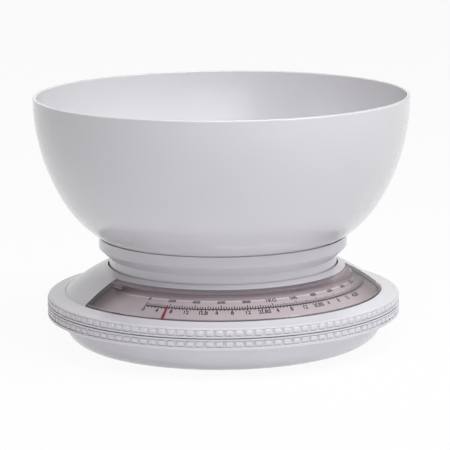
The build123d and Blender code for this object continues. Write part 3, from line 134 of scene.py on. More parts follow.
class Graph:
    """The node tree of one material or world."""

    def __init__(self, owner: Union[bpy.types.Material, bpy.types.World]) -> None:
        """Empties the owner's node tree and keeps it.

        Args:
            owner: the material or world whose nodes are built.
        """
        owner.use_nodes = True
        self.tree = owner.node_tree
        self.tree.nodes.clear()
        is_world = isinstance(owner, bpy.types.World)
        self.output = "ShaderNodeOutputWorld" if is_world else "ShaderNodeOutputMaterial"

    def add(
        self,
        kind: str,
        settings: Optional[Dict[str, Any]] = None,
        inputs: Optional[Dict[Union[str, int], Any]] = None,
    ) -> bpy.types.Node:
        """Adds a node: its settings first, then its sockets.

        Args:
            kind: the node's type.
            settings: attributes such as an operation.
            inputs: values or wires by socket name or number.

        Returns:
            The node.
        """
        node = self.tree.nodes.new(kind)
        for key, value in (settings or {}).items():
            setattr(node, key, value)
        for key, value in (inputs or {}).items():
            if isinstance(value, Wire):
                self.tree.links.new(value.socket, node.inputs[key])
            else:
                node.inputs[key].default_value = value
        return node

    def wire(self, kind: str, output: Union[str, int] = 0, **parts: Any) -> Wire:
        """Adds a node and returns one of its outputs as a wire."""
        return Wire(self, self.add(kind, **parts).outputs[output])

    def math(self, operation: str, *values: Value) -> Wire:
        """Adds one Math node on the given values."""
        return self.wire(
            "ShaderNodeMath",
            settings={"operation": operation},
            inputs=dict(enumerate(values)),
        )

    def largest(self, first: Value, *others: Value) -> Wire:
        """Gives the largest of some values.

        Args:
            first: the first value.
            others: the values that it is held against, in order.

        Returns:
            The largest as a wire.
        """
        for other in others:
            first = self.math("MAXIMUM", first, other)
        return first

    def band(self, value: Wire, low: float, high: float) -> Wire:
        """Rises smoothly from 0 at low to 1 at high; it falls where low is the larger.

        Args:
            value: what is measured.
            low: where the band is 0.
            high: where the band is 1.

        Returns:
            The band as a wire.
        """
        return self.wire(
            "ShaderNodeMapRange",
            settings={"interpolation_type": "SMOOTHSTEP"},
            inputs={"Value": value, "From Min": low, "From Max": high},
        )

    def mix(self, factor: Value, first: Any, second: Any) -> Wire:
        """Mixes two colours."""
        return self.wire(
            "ShaderNodeMix",
            output=2,
            settings={"data_type": "RGBA"},
            inputs={0: factor, 6: first, 7: second},
        )

    def place(self) -> Wire:
        """The object's own coordinates, in metres."""
        return self.wire("ShaderNodeTexCoord", output="Object")

    def round_axis(self, place: Wire) -> Tuple[Wire, Wire]:
        """Measures a place from the scale's axis.

        Args:
            place: the object's own coordinates.

        Returns:
            The distance from the axis in millimetres, and the azimuth.
        """
        axes = self.add("ShaderNodeSeparateXYZ", inputs={"Vector": place})
        x, y = Wire(self, axes.outputs["X"]), Wire(self, axes.outputs["Y"])
        radius = self.math("SQRT", x * x + y * y) / MM
        return radius, self.math("ARCTAN2", x, y * -1.0) * math.degrees(1.0)

    def stretched(self, place: Wire, scale: Triple) -> Wire:
        """A place scaled along each axis."""
        return self.wire("ShaderNodeMapping", inputs={"Vector": place, "Scale": scale})

    def noise(self, place: Wire, size: float, grain: Grain = Grain.EVEN) -> Wire:
        """Noise from 0 to 1 whose features are about that many millimetres wide."""
        return self.wire(
            "ShaderNodeTexNoise",
            inputs={"Vector": place, "Scale": 1 / (size * MM), "Detail": grain.value},
        )

    def bump(self, height: Wire, depth: float) -> Wire:
        """A normal bumped by a height of that many millimetres."""
        return self.wire(
            "ShaderNodeBump",
            output="Normal",
            inputs={"Height": height, "Distance": depth * MM, "Strength": 1.0},
        )

    def seen_rays(self) -> Wire:
        """Tells what the camera sees from what only lights the scale.

        Returns:
            1 for what is seen straight, in gloss or through glass, else 0.
        """
        rays = self.add("ShaderNodeLightPath")
        names = ("Is Camera Ray", "Is Glossy Ray", "Is Transmission Ray")
        return self.largest(*(Wire(self, rays.outputs[name]) for name in names))

    def close(self, shader: Wire) -> None:
        """Joins a shader to the output."""
        self.add(self.output, inputs={"Surface": shader})


def rgba(colour: Colour, tone: float = 1.0) -> Tuple[float, float, float, float]:
    """A colour, made darker or lighter by its tone, with full alpha."""
    return (*(min(1.0, c * tone) for c in colour), 1.0)


# --- finishes


@dataclass(frozen=True)
class Finish(ABC):
    """One procedural surface. Each subclass says how its shader is built."""

    name: str
    colour: Colour

    def material(self) -> bpy.types.Material:
        """Makes the material once and gives the same one afterwards.

        Returns:
            The material of this finish.
        """
        found = bpy.data.materials.get("finish_" + self.name)
        if found is None:
            found = bpy.data.materials.new("finish_" + self.name)
            graph = Graph(found)
            graph.close(self.shader(graph))
            found.diffuse_color = rgba(self.colour)
        return found

    @abstractmethod
    def shader(self, graph: Graph) -> Wire:
        """Builds the shader's nodes and returns its output."""


@dataclass(frozen=True)
class Moulding(Finish):
    """Moulded plastic: faint flow marks in its tint, an uneven gloss and a fine skin."""

    roughness: float = 0.3
    even_share: float = 0.85
    flow_share: float = 0.2
    skin_share: float = 0.1
    ior: float = 1.5
    coat: float = 0.0
    coat_roughness: float = 0.1
    tint: float = 0.03
    flow: float = 45.0
    skin: float = 0.9
    skin_depth: float = 0.004
    dust: float = 0.04
    dust_size: float = 1.6
    dust_band: Pair = (0.68, 0.76)
    dust_tone: float = 0.82

    def shader(self, graph: Graph) -> Wire:
        """Builds the plastic's nodes.

        Args:
            graph: the material's graph.

        Returns:
            The shader's output.
        """
        place = graph.place()
        flow = graph.noise(place, self.flow, Grain.SOFT)
        fine = graph.noise(place, self.skin, Grain.FINE)
        specks = graph.band(graph.noise(place, self.dust_size, Grain.SOFT), *self.dust_band)
        colour = graph.mix(
            flow, rgba(self.colour, 1 - self.tint), rgba(self.colour, 1 + self.tint)
        )
        colour = graph.mix(specks * self.dust, colour, rgba(self.colour, self.dust_tone))
        uneven = self.even_share + flow * self.flow_share + fine * self.skin_share
        return graph.wire(
            "ShaderNodeBsdfPrincipled",
            inputs={
                "Base Color": colour,
                "Roughness": uneven * self.roughness,
                "IOR": self.ior,
                "Coat Weight": self.coat,
                "Coat Roughness": self.coat_roughness,
                "Normal": graph.bump(fine, self.skin_depth),
            },
        )


@dataclass(frozen=True)
class Metal(Finish):
    """Metal with a drawn or turned grain that stretches along one axis, and dull patches."""

    roughness: float = 0.35
    grain: float = 0.25
    grain_tones: Pair = (0.86, 1.06)
    grain_rough: float = 0.1
    grain_depth: float = 0.006
    stretch: Triple = (0.06, 1.0, 1.0)
    patch: float = 9.0
    patch_band: Pair = (0.42, 0.68)
    patch_share: float = 0.25
    patch_tone: float = 0.7
    patch_rough: float = 0.12

    def shader(self, graph: Graph) -> Wire:
        """Builds the metal's nodes.

        Args:
            graph: the material's graph.

        Returns:
            The shader's output.
        """
        place = graph.place()
        lines = graph.noise(graph.stretched(place, self.stretch), self.grain, Grain.FINE)
        dull = graph.band(graph.noise(place, self.patch), *self.patch_band)
        dark, light = (rgba(self.colour, tone) for tone in self.grain_tones)
        colour = graph.mix(lines, dark, light)
        colour = graph.mix(dull * self.patch_share, colour, rgba(self.colour, self.patch_tone))
        return graph.wire(
            "ShaderNodeBsdfPrincipled",
            inputs={
                "Base Color": colour,
                "Metallic": 1.0,
                "Roughness": self.roughness + lines * self.grain_rough + dull * self.patch_rough,
                "Normal": graph.bump(lines, self.grain_depth),
            },
        )


@dataclass(frozen=True)
class DialPaper(Finish):
    """The dial's plate: warm off-white, with painted shade towards its ends and along its inside,
    edged by a painted highlight.
    """

    roughness: float = 0.5
    cloud: float = 14.0
    cloud_tones: Pair = (0.96, 1.03)
    fibre: float = 0.7
    fibre_share: float = 0.12
    fibre_tone: float = 0.8
    fibre_rough: float = 0.15
    fibre_depth: float = 0.003
    # painted shade: the grey of the strip along the plate's inside, standing in for the shadowed
    # step under the window's inner edge
    painted_strip_shade: Colour = (0.56, 0.49, 0.515)
    strip_radius: float = 87.6
    strip_blur: float = 0.15
    # painted highlight: the colour of a light line at the strip's outer edge, standing in for light
    # caught on the dial's inner edge
    line: Colour = (1.0, 0.96, 0.96)
    highlight_offset: float = 0.4
    highlight_band: Pair = (0.65, 0.35)
    highlight_share: float = 0.85
    # painted shade: the dark brown that the plate turns towards both ends of the window
    painted_shade_colour: Colour = (0.09, 0.045, 0.035)
    end_azimuth: float = 70.0
    shade_width: float = 14.0
    shade_lean: float = 0.35
    shade_share: float = 0.9
    far_shade_start: float = 36.0
    far_shade_share: float = 0.8

    def shader(self, graph: Graph) -> Wire:
        """Builds the plate's nodes.

        Args:
            graph: the material's graph.

        Returns:
            The shader's output.
        """
        place = graph.place()
        radius, turn = graph.round_axis(place)
        fibre = graph.noise(place, self.fibre, Grain.FINE)
        cloud = graph.noise(place, self.cloud, Grain.SOFT)
        dark, light = (rgba(self.colour, tone) for tone in self.cloud_tones)
        colour = graph.mix(cloud, dark, light)
        colour = graph.mix(fibre * self.fibre_share, colour, rgba(self.colour, self.fibre_tone))
        outside = radius - self.strip_radius
        # painted shade: inside strip_radius the plate turns to the strip's grey
        colour = graph.mix(
            graph.band(outside, self.strip_blur, -self.strip_blur), colour, rgba(self.painted_strip_shade)
        )
        # painted highlight: a light line just outside the strip
        line = graph.band(graph.math("ABSOLUTE", outside - self.highlight_offset), *self.highlight_band)
        colour = graph.mix(line * self.highlight_share, colour, rgba(self.line))
        # painted shade: dark brown towards both window ends, leaning with the radius, and wider
        # over the end at positive azimuth (far)
        leaning = graph.math("ABSOLUTE", turn) - outside * self.shade_lean
        end_shade = graph.band(leaning, self.end_azimuth - self.shade_width, self.end_azimuth)
        far = graph.band(turn, self.far_shade_start, self.end_azimuth)
        painted_end_shade = graph.largest(end_shade * self.shade_share, far * self.far_shade_share)
        return graph.wire(
            "ShaderNodeBsdfPrincipled",
            inputs={
                "Base Color": graph.mix(painted_end_shade, colour, rgba(self.painted_shade_colour)),
                "Roughness": self.roughness + fibre * self.fibre_rough,
                "Normal": graph.bump(fibre, self.fibre_depth),
            },
        )


@dataclass(frozen=True)
class Ink(Finish):
    """Screen-printed ink, a little uneven in its cover."""

    roughness: float = 0.45
    cover: float = 0.5
    cover_rough: float = 0.2
    thin_tone: float = 2.2

    def shader(self, graph: Graph) -> Wire:
        """Builds the ink's nodes.

        Args:
            graph: the material's graph.

        Returns:
            The shader's output.
        """
        cover = graph.noise(graph.place(), self.cover)
        return graph.wire(
            "ShaderNodeBsdfPrincipled",
            inputs={
                "Base Color": graph.mix(
                    cover, rgba(self.colour), rgba(self.colour, self.thin_tone)
                ),
                "Roughness": self.roughness + cover * self.cover_rough,
            },
        )


@dataclass(frozen=True)
class ClearPane(Finish):
    """A clear pane: a mirror by Fresnel over see-through, with painted shade along its edges and
    over the inner wall.
    """

    inner_radius: float = 82.35
    outer_radius: float = 105.5
    end_azimuth: float = 74.75
    # painted shade: the dark lines along the pane's edges, standing in for the shadow in the gaps
    # around it
    painted_edge_shade: Colour = (0.05, 0.045, 0.055)
    edge: float = 0.25
    outer_lip: float = 1.3
    inner_share: float = 0.6
    rim_share: float = 0.75
    # painted shade: the grey-brown of the wall under the pane's inner edge, seen through the pane
    painted_wall_shade: Colour = (0.5, 0.43, 0.46)
    wall_reach: float = 86.2
    wall_blur: float = 0.4
    wall_share: float = 0.35
    clear_tone: float = 0.98
    roughness: float = 0.03
    haze: float = 6.0
    haze_rough: float = 0.05
    facing_blend: float = 0.5
    grazing_power: float = 5.0
    grazing: float = 0.4
    straight_on: float = 0.045

    def shader(self, graph: Graph) -> Wire:
        """Builds the pane's nodes.

        Args:
            graph: the material's graph.

        Returns:
            The shader's output.
        """
        place = graph.place()
        radius, turn = graph.round_axis(place)
        azimuth = graph.math("ABSOLUTE", turn)
        # painted shade: a dark mirror along the outer edge, the inner edge and both ends
        outer_edge_shade = graph.band(radius, self.outer_radius - self.outer_lip, self.outer_radius)
        inner_edge_shade = graph.band(radius, self.inner_radius + self.edge, self.inner_radius)
        end_shade = graph.band(azimuth, self.end_azimuth - self.edge, self.end_azimuth)
        rim_shade = graph.largest(outer_edge_shade, inner_edge_shade * self.inner_share, end_shade)
        # painted shade: over the wall under the inner edge the pane turns to a darker mirror
        over_wall = graph.band(radius - self.wall_reach, self.wall_blur, -self.wall_blur)
        haze = graph.noise(place, self.haze)
        tone = graph.mix(over_wall, rgba(self.colour), rgba(self.painted_wall_shade))
        mirror = graph.wire(
            "ShaderNodeBsdfPrincipled",
            inputs={
                "Base Color": graph.mix(rim_shade, tone, rgba(self.painted_edge_shade)),
                "Metallic": 1.0,
                "Roughness": self.roughness + haze * self.haze_rough,
            },
        )
        clear = graph.wire(
            "ShaderNodeBsdfTransparent", inputs={"Color": rgba(self.colour, self.clear_tone)}
        )
        facing = graph.wire(
            "ShaderNodeLayerWeight", output="Facing", inputs={"Blend": self.facing_blend}
        )
        front = 1.0 - graph.wire("ShaderNodeNewGeometry", output="Backfacing")
        grazing = graph.math("POWER", facing, self.grazing_power) * self.grazing
        glance = (grazing + self.straight_on) * front
        mirrored = graph.largest(glance, rim_shade * self.rim_share, over_wall * self.wall_share)
        factor = graph.math("MINIMUM", mirrored, 1.0)
        return graph.wire("ShaderNodeMixShader", inputs={0: factor, 1: clear, 2: mirror})


@dataclass(frozen=True)
class StudioFloor(Finish):
    """A pale matt floor that shows white to the camera and in reflections, and keeps the shadow."""

    seen_white: float = 0.94
    grain: float = 30.0
    grain_tones: Pair = (0.99, 1.01)

    def shader(self, graph: Graph) -> Wire:
        """Builds the floor's nodes.

        Args:
            graph: the material's graph.

        Returns:
            The shader's output.
        """
        grain = graph.noise(graph.place(), self.grain)
        dark, light = (rgba(self.colour, tone) for tone in self.grain_tones)
        matt = graph.wire(
            "ShaderNodeBsdfPrincipled",
            inputs={
                "Base Color": graph.mix(grain, dark, light),
                "Roughness": 1.0,
                "Specular IOR Level": 0.0,
            },
        )
        white = graph.wire("ShaderNodeEmission", inputs={"Color": rgba(WHITE), "Strength": 1.0})
        seen = graph.seen_rays() * self.seen_white
        return graph.wire("ShaderNodeMixShader", inputs={0: seen, 1: matt, 2: white})


class Finishes(Enum):
    """The finishes of this scale, by what they cover."""

    CASING = Moulding("white_casing", (0.80, 0.785, 0.81), roughness=0.24, coat=0.3, tint=0.015)
    BOWL = Moulding(
        "white_bowl", (0.80, 0.79, 0.80), roughness=0.2, coat=0.4, tint=0.02, flow=60.0
    )
    RUBBER = Moulding(
        "foot_rubber", (0.36, 0.36, 0.36), roughness=0.75, tint=0.06, skin=0.5, skin_depth=0.02
    )
    NYLON = Moulding("white_nylon", (0.78, 0.76, 0.71), roughness=0.5, tint=0.04, flow=8.0)
    ZINC = Metal("zinc_steel", (0.62, 0.63, 0.66), roughness=0.33)
    SCREW = Metal("screw_steel", (0.55, 0.56, 0.58), roughness=0.28, grain=0.12)
    PIN = Metal(
        "pin_steel", (0.66, 0.66, 0.68), roughness=0.2, grain=0.1, stretch=(1.0, 0.08, 1.0)
    )
    BRASS = Metal(
        "gear_brass", (0.78, 0.6, 0.3), roughness=0.25, grain=0.15, stretch=(0.08, 0.08, 1.0)
    )
    ALLOY = Metal("light_alloy", (0.8, 0.8, 0.82), roughness=0.3, grain=0.2)
    SPRING = Metal(
        "spring_steel", (0.42, 0.42, 0.44), roughness=0.3, grain=0.3, stretch=(1.0, 1.0, 0.3)
    )
    POINTER = Moulding("pointer_red", (0.36, 0.012, 0.03), roughness=0.4, tint=0.06, flow=3.0)
    LENS = ClearPane("clear_lens", (0.97, 0.95, 0.955))
    CLIP = Moulding(
        "lens_clip", (0.3, 0.27, 0.29), roughness=0.15, coat=0.4, tint=0.04, flow=4.0
    )
    DIAL = DialPaper("dial_white", (0.75, 0.7, 0.705))
    INK = Ink("dial_ink", (0.018, 0.014, 0.018))
    FLOOR = StudioFloor("studio_floor", (0.94, 0.94, 0.95))
    FLAG = Moulding("studio_flag", (0.12, 0.1, 0.11), roughness=0.9)

    def dress(self, piece: bpy.types.Object) -> None:
        """Gives a piece this finish alone.

        Args:
            piece: the mesh object.
        """
        piece.data.materials.clear()
        piece.data.materials.append(self.value.material())
        log.info("%s: finish %s", piece.name, self.value.name)


# --- modelling helpers


def clear_choice() -> None:
    """Leaves edit mode and deselects every object."""
    if bpy.context.object and bpy.context.object.mode != "OBJECT":
        bpy.ops.object.mode_set(mode="OBJECT")
    bpy.ops.object.select_all(action="DESELECT")


def take(piece: bpy.types.Object) -> None:
    """Makes a piece the only selected and active object.

    Args:
        piece: the object.
    """
    clear_choice()
    piece.select_set(True)
    bpy.context.view_layer.objects.active = piece


def edit_where(piece: bpy.types.Object, test: Callable[[Vector], bool]) -> int:
    """Opens edit mode with the vertices selected whose place passes a test, and what they span.

    Args:
        piece: the mesh object.
        test: takes a place in metres.

    Returns:
        How many vertices are selected.
    """
    take(piece)
    bpy.ops.object.mode_set(mode="EDIT")
    bpy.ops.mesh.select_mode(type="VERT")
    bpy.ops.mesh.select_all(action="DESELECT")
    bpy.ops.object.mode_set(mode="OBJECT")
    mesh = piece.data
    flags = [bool(test(vertex.co)) for vertex in mesh.vertices]
    mesh.vertices.foreach_set("select", flags)
    for parts in (mesh.edges, mesh.polygons):
        parts.foreach_set("select", [all(flags[i] for i in part.vertices) for part in parts])
    bpy.ops.object.mode_set(mode="EDIT")
    return sum(flags)


def edit_edges(piece: bpy.types.Object, test: Callable[[Vector, Vector], bool]) -> None:
    """Opens edit mode with only the edges selected whose two ends pass a test.

    Args:
        piece: the mesh object.
        test: takes the two places in metres.
    """
    edit_where(piece, lambda place: False)
    bpy.ops.mesh.select_mode(type="EDGE")
    bpy.ops.object.mode_set(mode="OBJECT")
    mesh = piece.data
    for edge in mesh.edges:
        edge.select = test(*(mesh.vertices[i].co for i in edge.vertices))
    bpy.ops.object.mode_set(mode="EDIT")


def edit_all(piece: bpy.types.Object) -> None:
    """Opens edit mode with everything selected."""
    edit_where(piece, lambda place: True)


def at_azimuth(azimuth: float) -> Matrix:
    """The turn that carries what lies at the window's middle to an azimuth."""
    return Matrix.Rotation(math.radians(azimuth), 4, "Z")


def copy_turned(piece: bpy.types.Object, azimuth: float) -> bpy.types.Object:
    """Copies a piece with its own mesh, turned about the scale's axis.

    Args:
        piece: the mesh object, at the origin.
        azimuth: how far the copy is turned.

    Returns:
        The copy.
    """
    copy = bpy.data.objects.new(piece.name + "_copy", piece.data.copy())
    bpy.context.scene.collection.objects.link(copy)
    copy.data.transform(at_azimuth(azimuth))
    return copy


def copy_node(node: str, name: str) -> bpy.types.Object:
    """Copies a CAD node's mesh into a new piece and merges its loose triangles.

    Args:
        node: the CAD node.
        name: the new piece's name.

    Returns:
        The piece, in edit mode with everything selected.
    """
    piece = bpy.data.objects.new(name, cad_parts[node].data.copy())
    bpy.context.scene.collection.objects.link(piece)
    take(piece)
    bpy.ops.mesh.customdata_custom_splitnormals_clear()
    edit_all(piece)
    bpy.ops.mesh.mark_sharp(clear=True)
    bpy.ops.mesh.remove_doubles(threshold=MERGE)
    return piece


def join(pieces: Sequence[bpy.types.Object], name: str) -> bpy.types.Object:
    """Joins pieces into the first one.

    Args:
        pieces: mesh objects at the origin.
        name: the joined piece's name.

    Returns:
        The joined piece.
    """
    clear_choice()
    for piece in pieces:
        piece.select_set(True)
    bpy.context.view_layer.objects.active = pieces[0]
    bpy.ops.object.join()
    pieces[0].name = pieces[0].data.name = name
    return pieces[0]


def smooth(piece: bpy.types.Object, angle: float) -> None:
    """Shades smooth across edges flatter than an angle in degrees."""
    take(piece)
    bpy.ops.object.shade_smooth_by_angle(angle=math.radians(angle))


def settle(piece: bpy.types.Object) -> None:
    """Puts the object's own place, turn and scale into its mesh."""
    take(piece)
    bpy.ops.object.transform_apply(location=True, rotation=True, scale=True)


def radius_of(place: Vector) -> float:
    """Distance from the scale's axis in millimetres."""
    return math.hypot(place.x, place.y) / MM


@dataclass(frozen=True)
class Crown:
    """The convex surface of revolution that the cover's top, its lens and the dial follow."""

    centre_radius: float = 29.394
    centre_height: float = -55.667
    radius: float = 120.0

    def height(self, radius: float, depth: float) -> float:
        """Height of the surface at a distance from the axis, that deep under the cover's skin."""
        aside = radius - self.centre_radius
        return self.centre_height + math.sqrt((self.radius - depth) ** 2 - aside**2)

    def lay(self, piece: bpy.types.Object, depth: float) -> None:
        """Lays a flat piece onto the surface at a depth, and keeps its own thickness over it."""
        for vertex in piece.data.vertices:
            vertex.co.z += self.height(radius_of(vertex.co), depth) * MM


# --- the casing


@dataclass
class BeadedShell:
    """A casing shell whose grip is a row of rounded beads in a groove between two lips."""

    node: str
    name: str
    body: Body
    row_height: float
    groove_half: float = 2.05
    groove_radius: float = 116.9
    mouth_radius: float = 118.0
    crest_radius: float = 118.02
    bead_count: int = 118
    bead_width: float = 5.35
    bead_height: float = 4.0
    bead_corner: float = 1.35
    corner_steps: int = 2
    bead_round: float = 1.3
    round_steps: int = 3
    sunk: float = 0.5
    slack: float = 0.02
    circle_slack: float = 0.2
    smooth_angle: float = 32.0
    bead_smooth_angle: float = 80.0

    def build(self) -> None:
        """Makes the shell and its beads, dresses them and sets them on their body."""
        shell = self._shell()
        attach(shell, self.body.value)
        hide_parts(self.node)
        beads = self._beads()
        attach(beads, self.body.value)
        for piece in (shell, beads):
            Finishes.CASING.dress(piece)

    def _on_row(self, place: Vector) -> bool:
        """True for the plain scallops and the groove's flat sides."""
        near = abs(place.z / MM - self.row_height) < self.groove_half + self.slack
        return near and radius_of(place) > self.groove_radius - self.slack

    def _at(self, place: Vector, side: float, radius: float) -> bool:
        """True on one circle of the groove."""
        level = abs(place.z / MM - self.row_height - side)
        return level < self.slack and abs(radius_of(place) - radius) < self.circle_slack

    def _shell(self) -> bpy.types.Object:
        """Copies the CAD shell and turns its plain scallops into one smooth groove.

        Returns:
            The shell.
        """
        shell = copy_node(self.node, self.name)
        edit_where(shell, self._on_row)
        bpy.ops.mesh.delete(type="FACE")
        narrow = self.groove_radius / self.mouth_radius
        for side in (-self.groove_half, self.groove_half):
            edit_where(shell, lambda place: self._at(place, side, self.mouth_radius))
            bpy.ops.mesh.extrude_region_move()
            bpy.ops.transform.resize(value=(narrow, narrow, 1.0), center_override=ORIGIN)
        count = edit_where(
            shell,
            lambda place: self._at(place, -self.groove_half, self.groove_radius)
            or self._at(place, self.groove_half, self.groove_radius),
        )
        bpy.ops.mesh.bridge_edge_loops()
        bpy.ops.mesh.select_all(action="SELECT")
        bpy.ops.mesh.normals_make_consistent(inside=False)
        smooth(shell, self.smooth_angle)
        log.info("%s: groove closed over %d points", self.name, count)
        return shell

    def _beads(self) -> bpy.types.Object:
        """Models one bead and copies it round the row.

        Returns:
            The row of beads.
        """
        depth = self.crest_radius - self.groove_radius + self.sunk
        middle = self.crest_radius - depth / 2
        clear_choice()
        bpy.ops.mesh.primitive_cube_add(
            size=1.0, location=(0.0, -middle * MM, self.row_height * MM)
        )
        bead = bpy.context.object
        bead.scale = (self.bead_width * MM, depth * MM, self.bead_height * MM)
        settle(bead)
        edit_edges(bead, lambda one, other: abs(one.y - other.y) > depth * MM / 2)
        bpy.ops.mesh.bevel(
            offset=self.bead_corner * MM, segments=self.corner_steps, affect="EDGES"
        )
        edit_where(bead, lambda place: -place.y > middle * MM)
        bpy.ops.mesh.bevel(
            offset=self.bead_round * MM, segments=self.round_steps, affect="EDGES"
        )
        smooth(bead, self.bead_smooth_angle)
        pitch = 360 / self.bead_count
        copies = [copy_turned(bead, pitch * index) for index in range(1, self.bead_count)]
        row = join([bead, *copies], self.name + "_beads")
        log.info("%s: %d beads", row.name, self.bead_count)
        return row


# --- the dial


class Side(Enum):
    """Which way marks stand off the dial's line."""

    INWARD = -1
    OUTWARD = 1


@dataclass(frozen=True)
class Scale:
    """One of the dial's two scales: its steps in grams, its marks and its numerals."""

    side: Side
    gram_step: float
    marks: Tuple[Tuple[int, float], ...]
    label_every: int
    labels: Tuple[str, ...]
    label_radius: float
    label_size: float
    long_label_size: float
    long_shift: float


KILOGRAMS = Scale(
    side=Side.INWARD,
    gram_step=20.0,
    marks=((1, 1.9), (5, 2.4), (10, 2.9)),
    label_every=10,
    labels=("0", "200", "400", "600", "800", "1KG", "200", "400", "600", "800", "2KG"),
    label_radius=88.9,
    label_size=2.6,
    long_label_size=3.0,
    long_shift=0.0,
)
OUNCE = 28.3495
POUNDS = Scale(
    side=Side.OUTWARD,
    gram_step=OUNCE,
    marks=((1, 1.1), (4, 1.4), (16, 1.8)),
    label_every=4,
    labels=(
        *("0", "4", "8", "12", "1LB", "4", "8", "12", "2LBS"),
        *("4", "8", "12", "3LBS", "4", "8", "12", "4LBS"),
    ),
    label_radius=96.9,
    label_size=3.0,
    long_label_size=3.1,
    long_shift=0.7,
)


@dataclass
class DialPrint:
    """The print on the dial: one line with kilograms inside it and pounds outside it."""

    crown: Crown
    line_radius: float = 94.2
    line_width: float = 0.8
    mark_width: float = 0.65
    zero: float = -49.0
    degrees_per_gram: float = 0.052
    full_grams: float = 2200.0
    line_past: float = 7.6
    line_steps: int = 100
    dial_depth: float = 2.77
    lift: float = 0.05
    type_scale: float = 1.35
    type_steps: int = 3
    flatten: float = 0.84
    bold: float = 0.13
    name: str = "dial_print"

    def build(self) -> None:
        """Makes the print, lays it on the dial, dresses it and sets it on the cover."""
        pieces = [self._line(), *self._marks(KILOGRAMS), *self._marks(POUNDS)]
        pieces += [*self._numerals(KILOGRAMS), *self._numerals(POUNDS)]
        count = len(pieces)
        print_piece = join(pieces, self.name)
        self.crown.lay(print_piece, self.dial_depth - self.lift)
        Finishes.INK.dress(print_piece)
        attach(print_piece, Body.COVER.value)
        log.info("%s: %d marks and numerals", self.name, count)

    def _azimuth(self, grams: float) -> float:
        """The azimuth of a weight on the dial."""
        return self.zero + grams * self.degrees_per_gram

    def _line(self) -> bpy.types.Object:
        """Spins a short radial edge into the line that both scales stand on.

        Returns:
            The line, flat at height 0.
        """
        end = self._azimuth(self.full_grams) + self.line_past
        clear_choice()
        bpy.ops.mesh.primitive_plane_add(
            size=self.line_width * MM, location=(0.0, -self.line_radius * MM, 0.0)
        )
        line = bpy.context.object
        settle(line)
        edit_where(line, lambda place: place.x > 0)
        bpy.ops.mesh.delete(type="VERT")
        edit_all(line)
        bpy.ops.mesh.spin(
            steps=self.line_steps,
            angle=math.radians(end - self.zero),
            center=ORIGIN,
            axis=(0, 0, 1),
        )
        bpy.ops.object.mode_set(mode="OBJECT")
        reach = max(math.degrees(math.atan2(v.co.x, -v.co.y)) for v in line.data.vertices)
        line.data.transform(at_azimuth(end - reach))
        self._face_up(line)
        return line

    @staticmethod
    def _face_up(piece: bpy.types.Object) -> None:
        """Turns every face of a flat piece upwards.

        Args:
            piece: the mesh object.
        """
        edit_all(piece)
        bpy.ops.mesh.normals_make_consistent(inside=False)
        bpy.ops.object.mode_set(mode="OBJECT")
        if piece.data.polygons[0].normal.z < 0:
            edit_all(piece)
            bpy.ops.mesh.flip_normals()
            bpy.ops.object.mode_set(mode="OBJECT")

    def _mark(self, side: Side, length: float) -> bpy.types.Object:
        """Models one mark at the window's middle, standing on the line.

        Args:
            side: which way it stands off the line.
            length: how long it is.

        Returns:
            The mark, flat at height 0.
        """
        middle = self.line_radius + side.value * length / 2
        clear_choice()
        bpy.ops.mesh.primitive_plane_add(size=1.0, location=(0.0, -middle * MM, 0.0))
        mark = bpy.context.object
        mark.scale = (self.mark_width * MM, length * MM, 1.0)
        settle(mark)
        edit_all(mark)
        bpy.ops.mesh.subdivide(number_cuts=1)
        bpy.ops.object.mode_set(mode="OBJECT")
        return mark

    def _marks(self, scale: Scale) -> List[bpy.types.Object]:
        """Copies the marks of one scale along the line.

        Args:
            scale: the scale.

        Returns:
            The marks.
        """
        made = []
        masters = {every: self._mark(scale.side, length) for every, length in scale.marks}
        for index in range(int(self.full_grams / scale.gram_step) + 1):
            every = max(step for step in masters if index % step == 0)
            made.append(copy_turned(masters[every], self._azimuth(index * scale.gram_step)))
        for master in masters.values():
            bpy.data.objects.remove(master)
        return made

    def _numerals(self, scale: Scale) -> List[bpy.types.Object]:
        """Sets the numerals of one scale.

        Args:
            scale: the scale.

        Returns:
            The numerals as flat meshes.
        """
        made = []
        for index, words in enumerate(scale.labels):
            is_long = not words.isdigit()
            size = scale.long_label_size if is_long else scale.label_size
            azimuth = self._azimuth(index * scale.label_every * scale.gram_step)
            azimuth += scale.long_shift if is_long else 0.0
            made.append(self._numeral(words, size, scale.label_radius, azimuth))
        return made

    def _numeral(
        self, words: str, size: float, radius: float, azimuth: float
    ) -> bpy.types.Object:
        """Makes one numeral that reads from outside the scale.

        Args:
            words: what it says.
            size: the height of its type.
            radius: how far its middle lies from the axis.
            azimuth: where it stands.

        Returns:
            The numeral, flat at height 0.
        """
        clear_choice()
        bpy.ops.object.text_add(location=ORIGIN)
        text = bpy.context.object
        text.data.body = words
        text.data.size = size * self.type_scale * MM
        text.data.align_x = "CENTER"
        text.data.align_y = "CENTER"
        text.data.offset = self.bold * MM
        text.data.resolution_u = self.type_steps
        take(text)
        bpy.ops.object.convert(target="MESH")
        text = bpy.context.object
        flat = Matrix.Diagonal((1.0, self.flatten, 1.0, 1.0))
        out = Matrix.Translation((0.0, -radius * MM, 0.0))
        text.data.transform(at_azimuth(azimuth) @ out @ flat)
        return text


# --- the window


@dataclass(frozen=True)
class Clip:
    """Where one snap clip of the lens stands, its size round the axis and along the radius."""

    azimuth: float
    radius: float
    width: float
    length: float


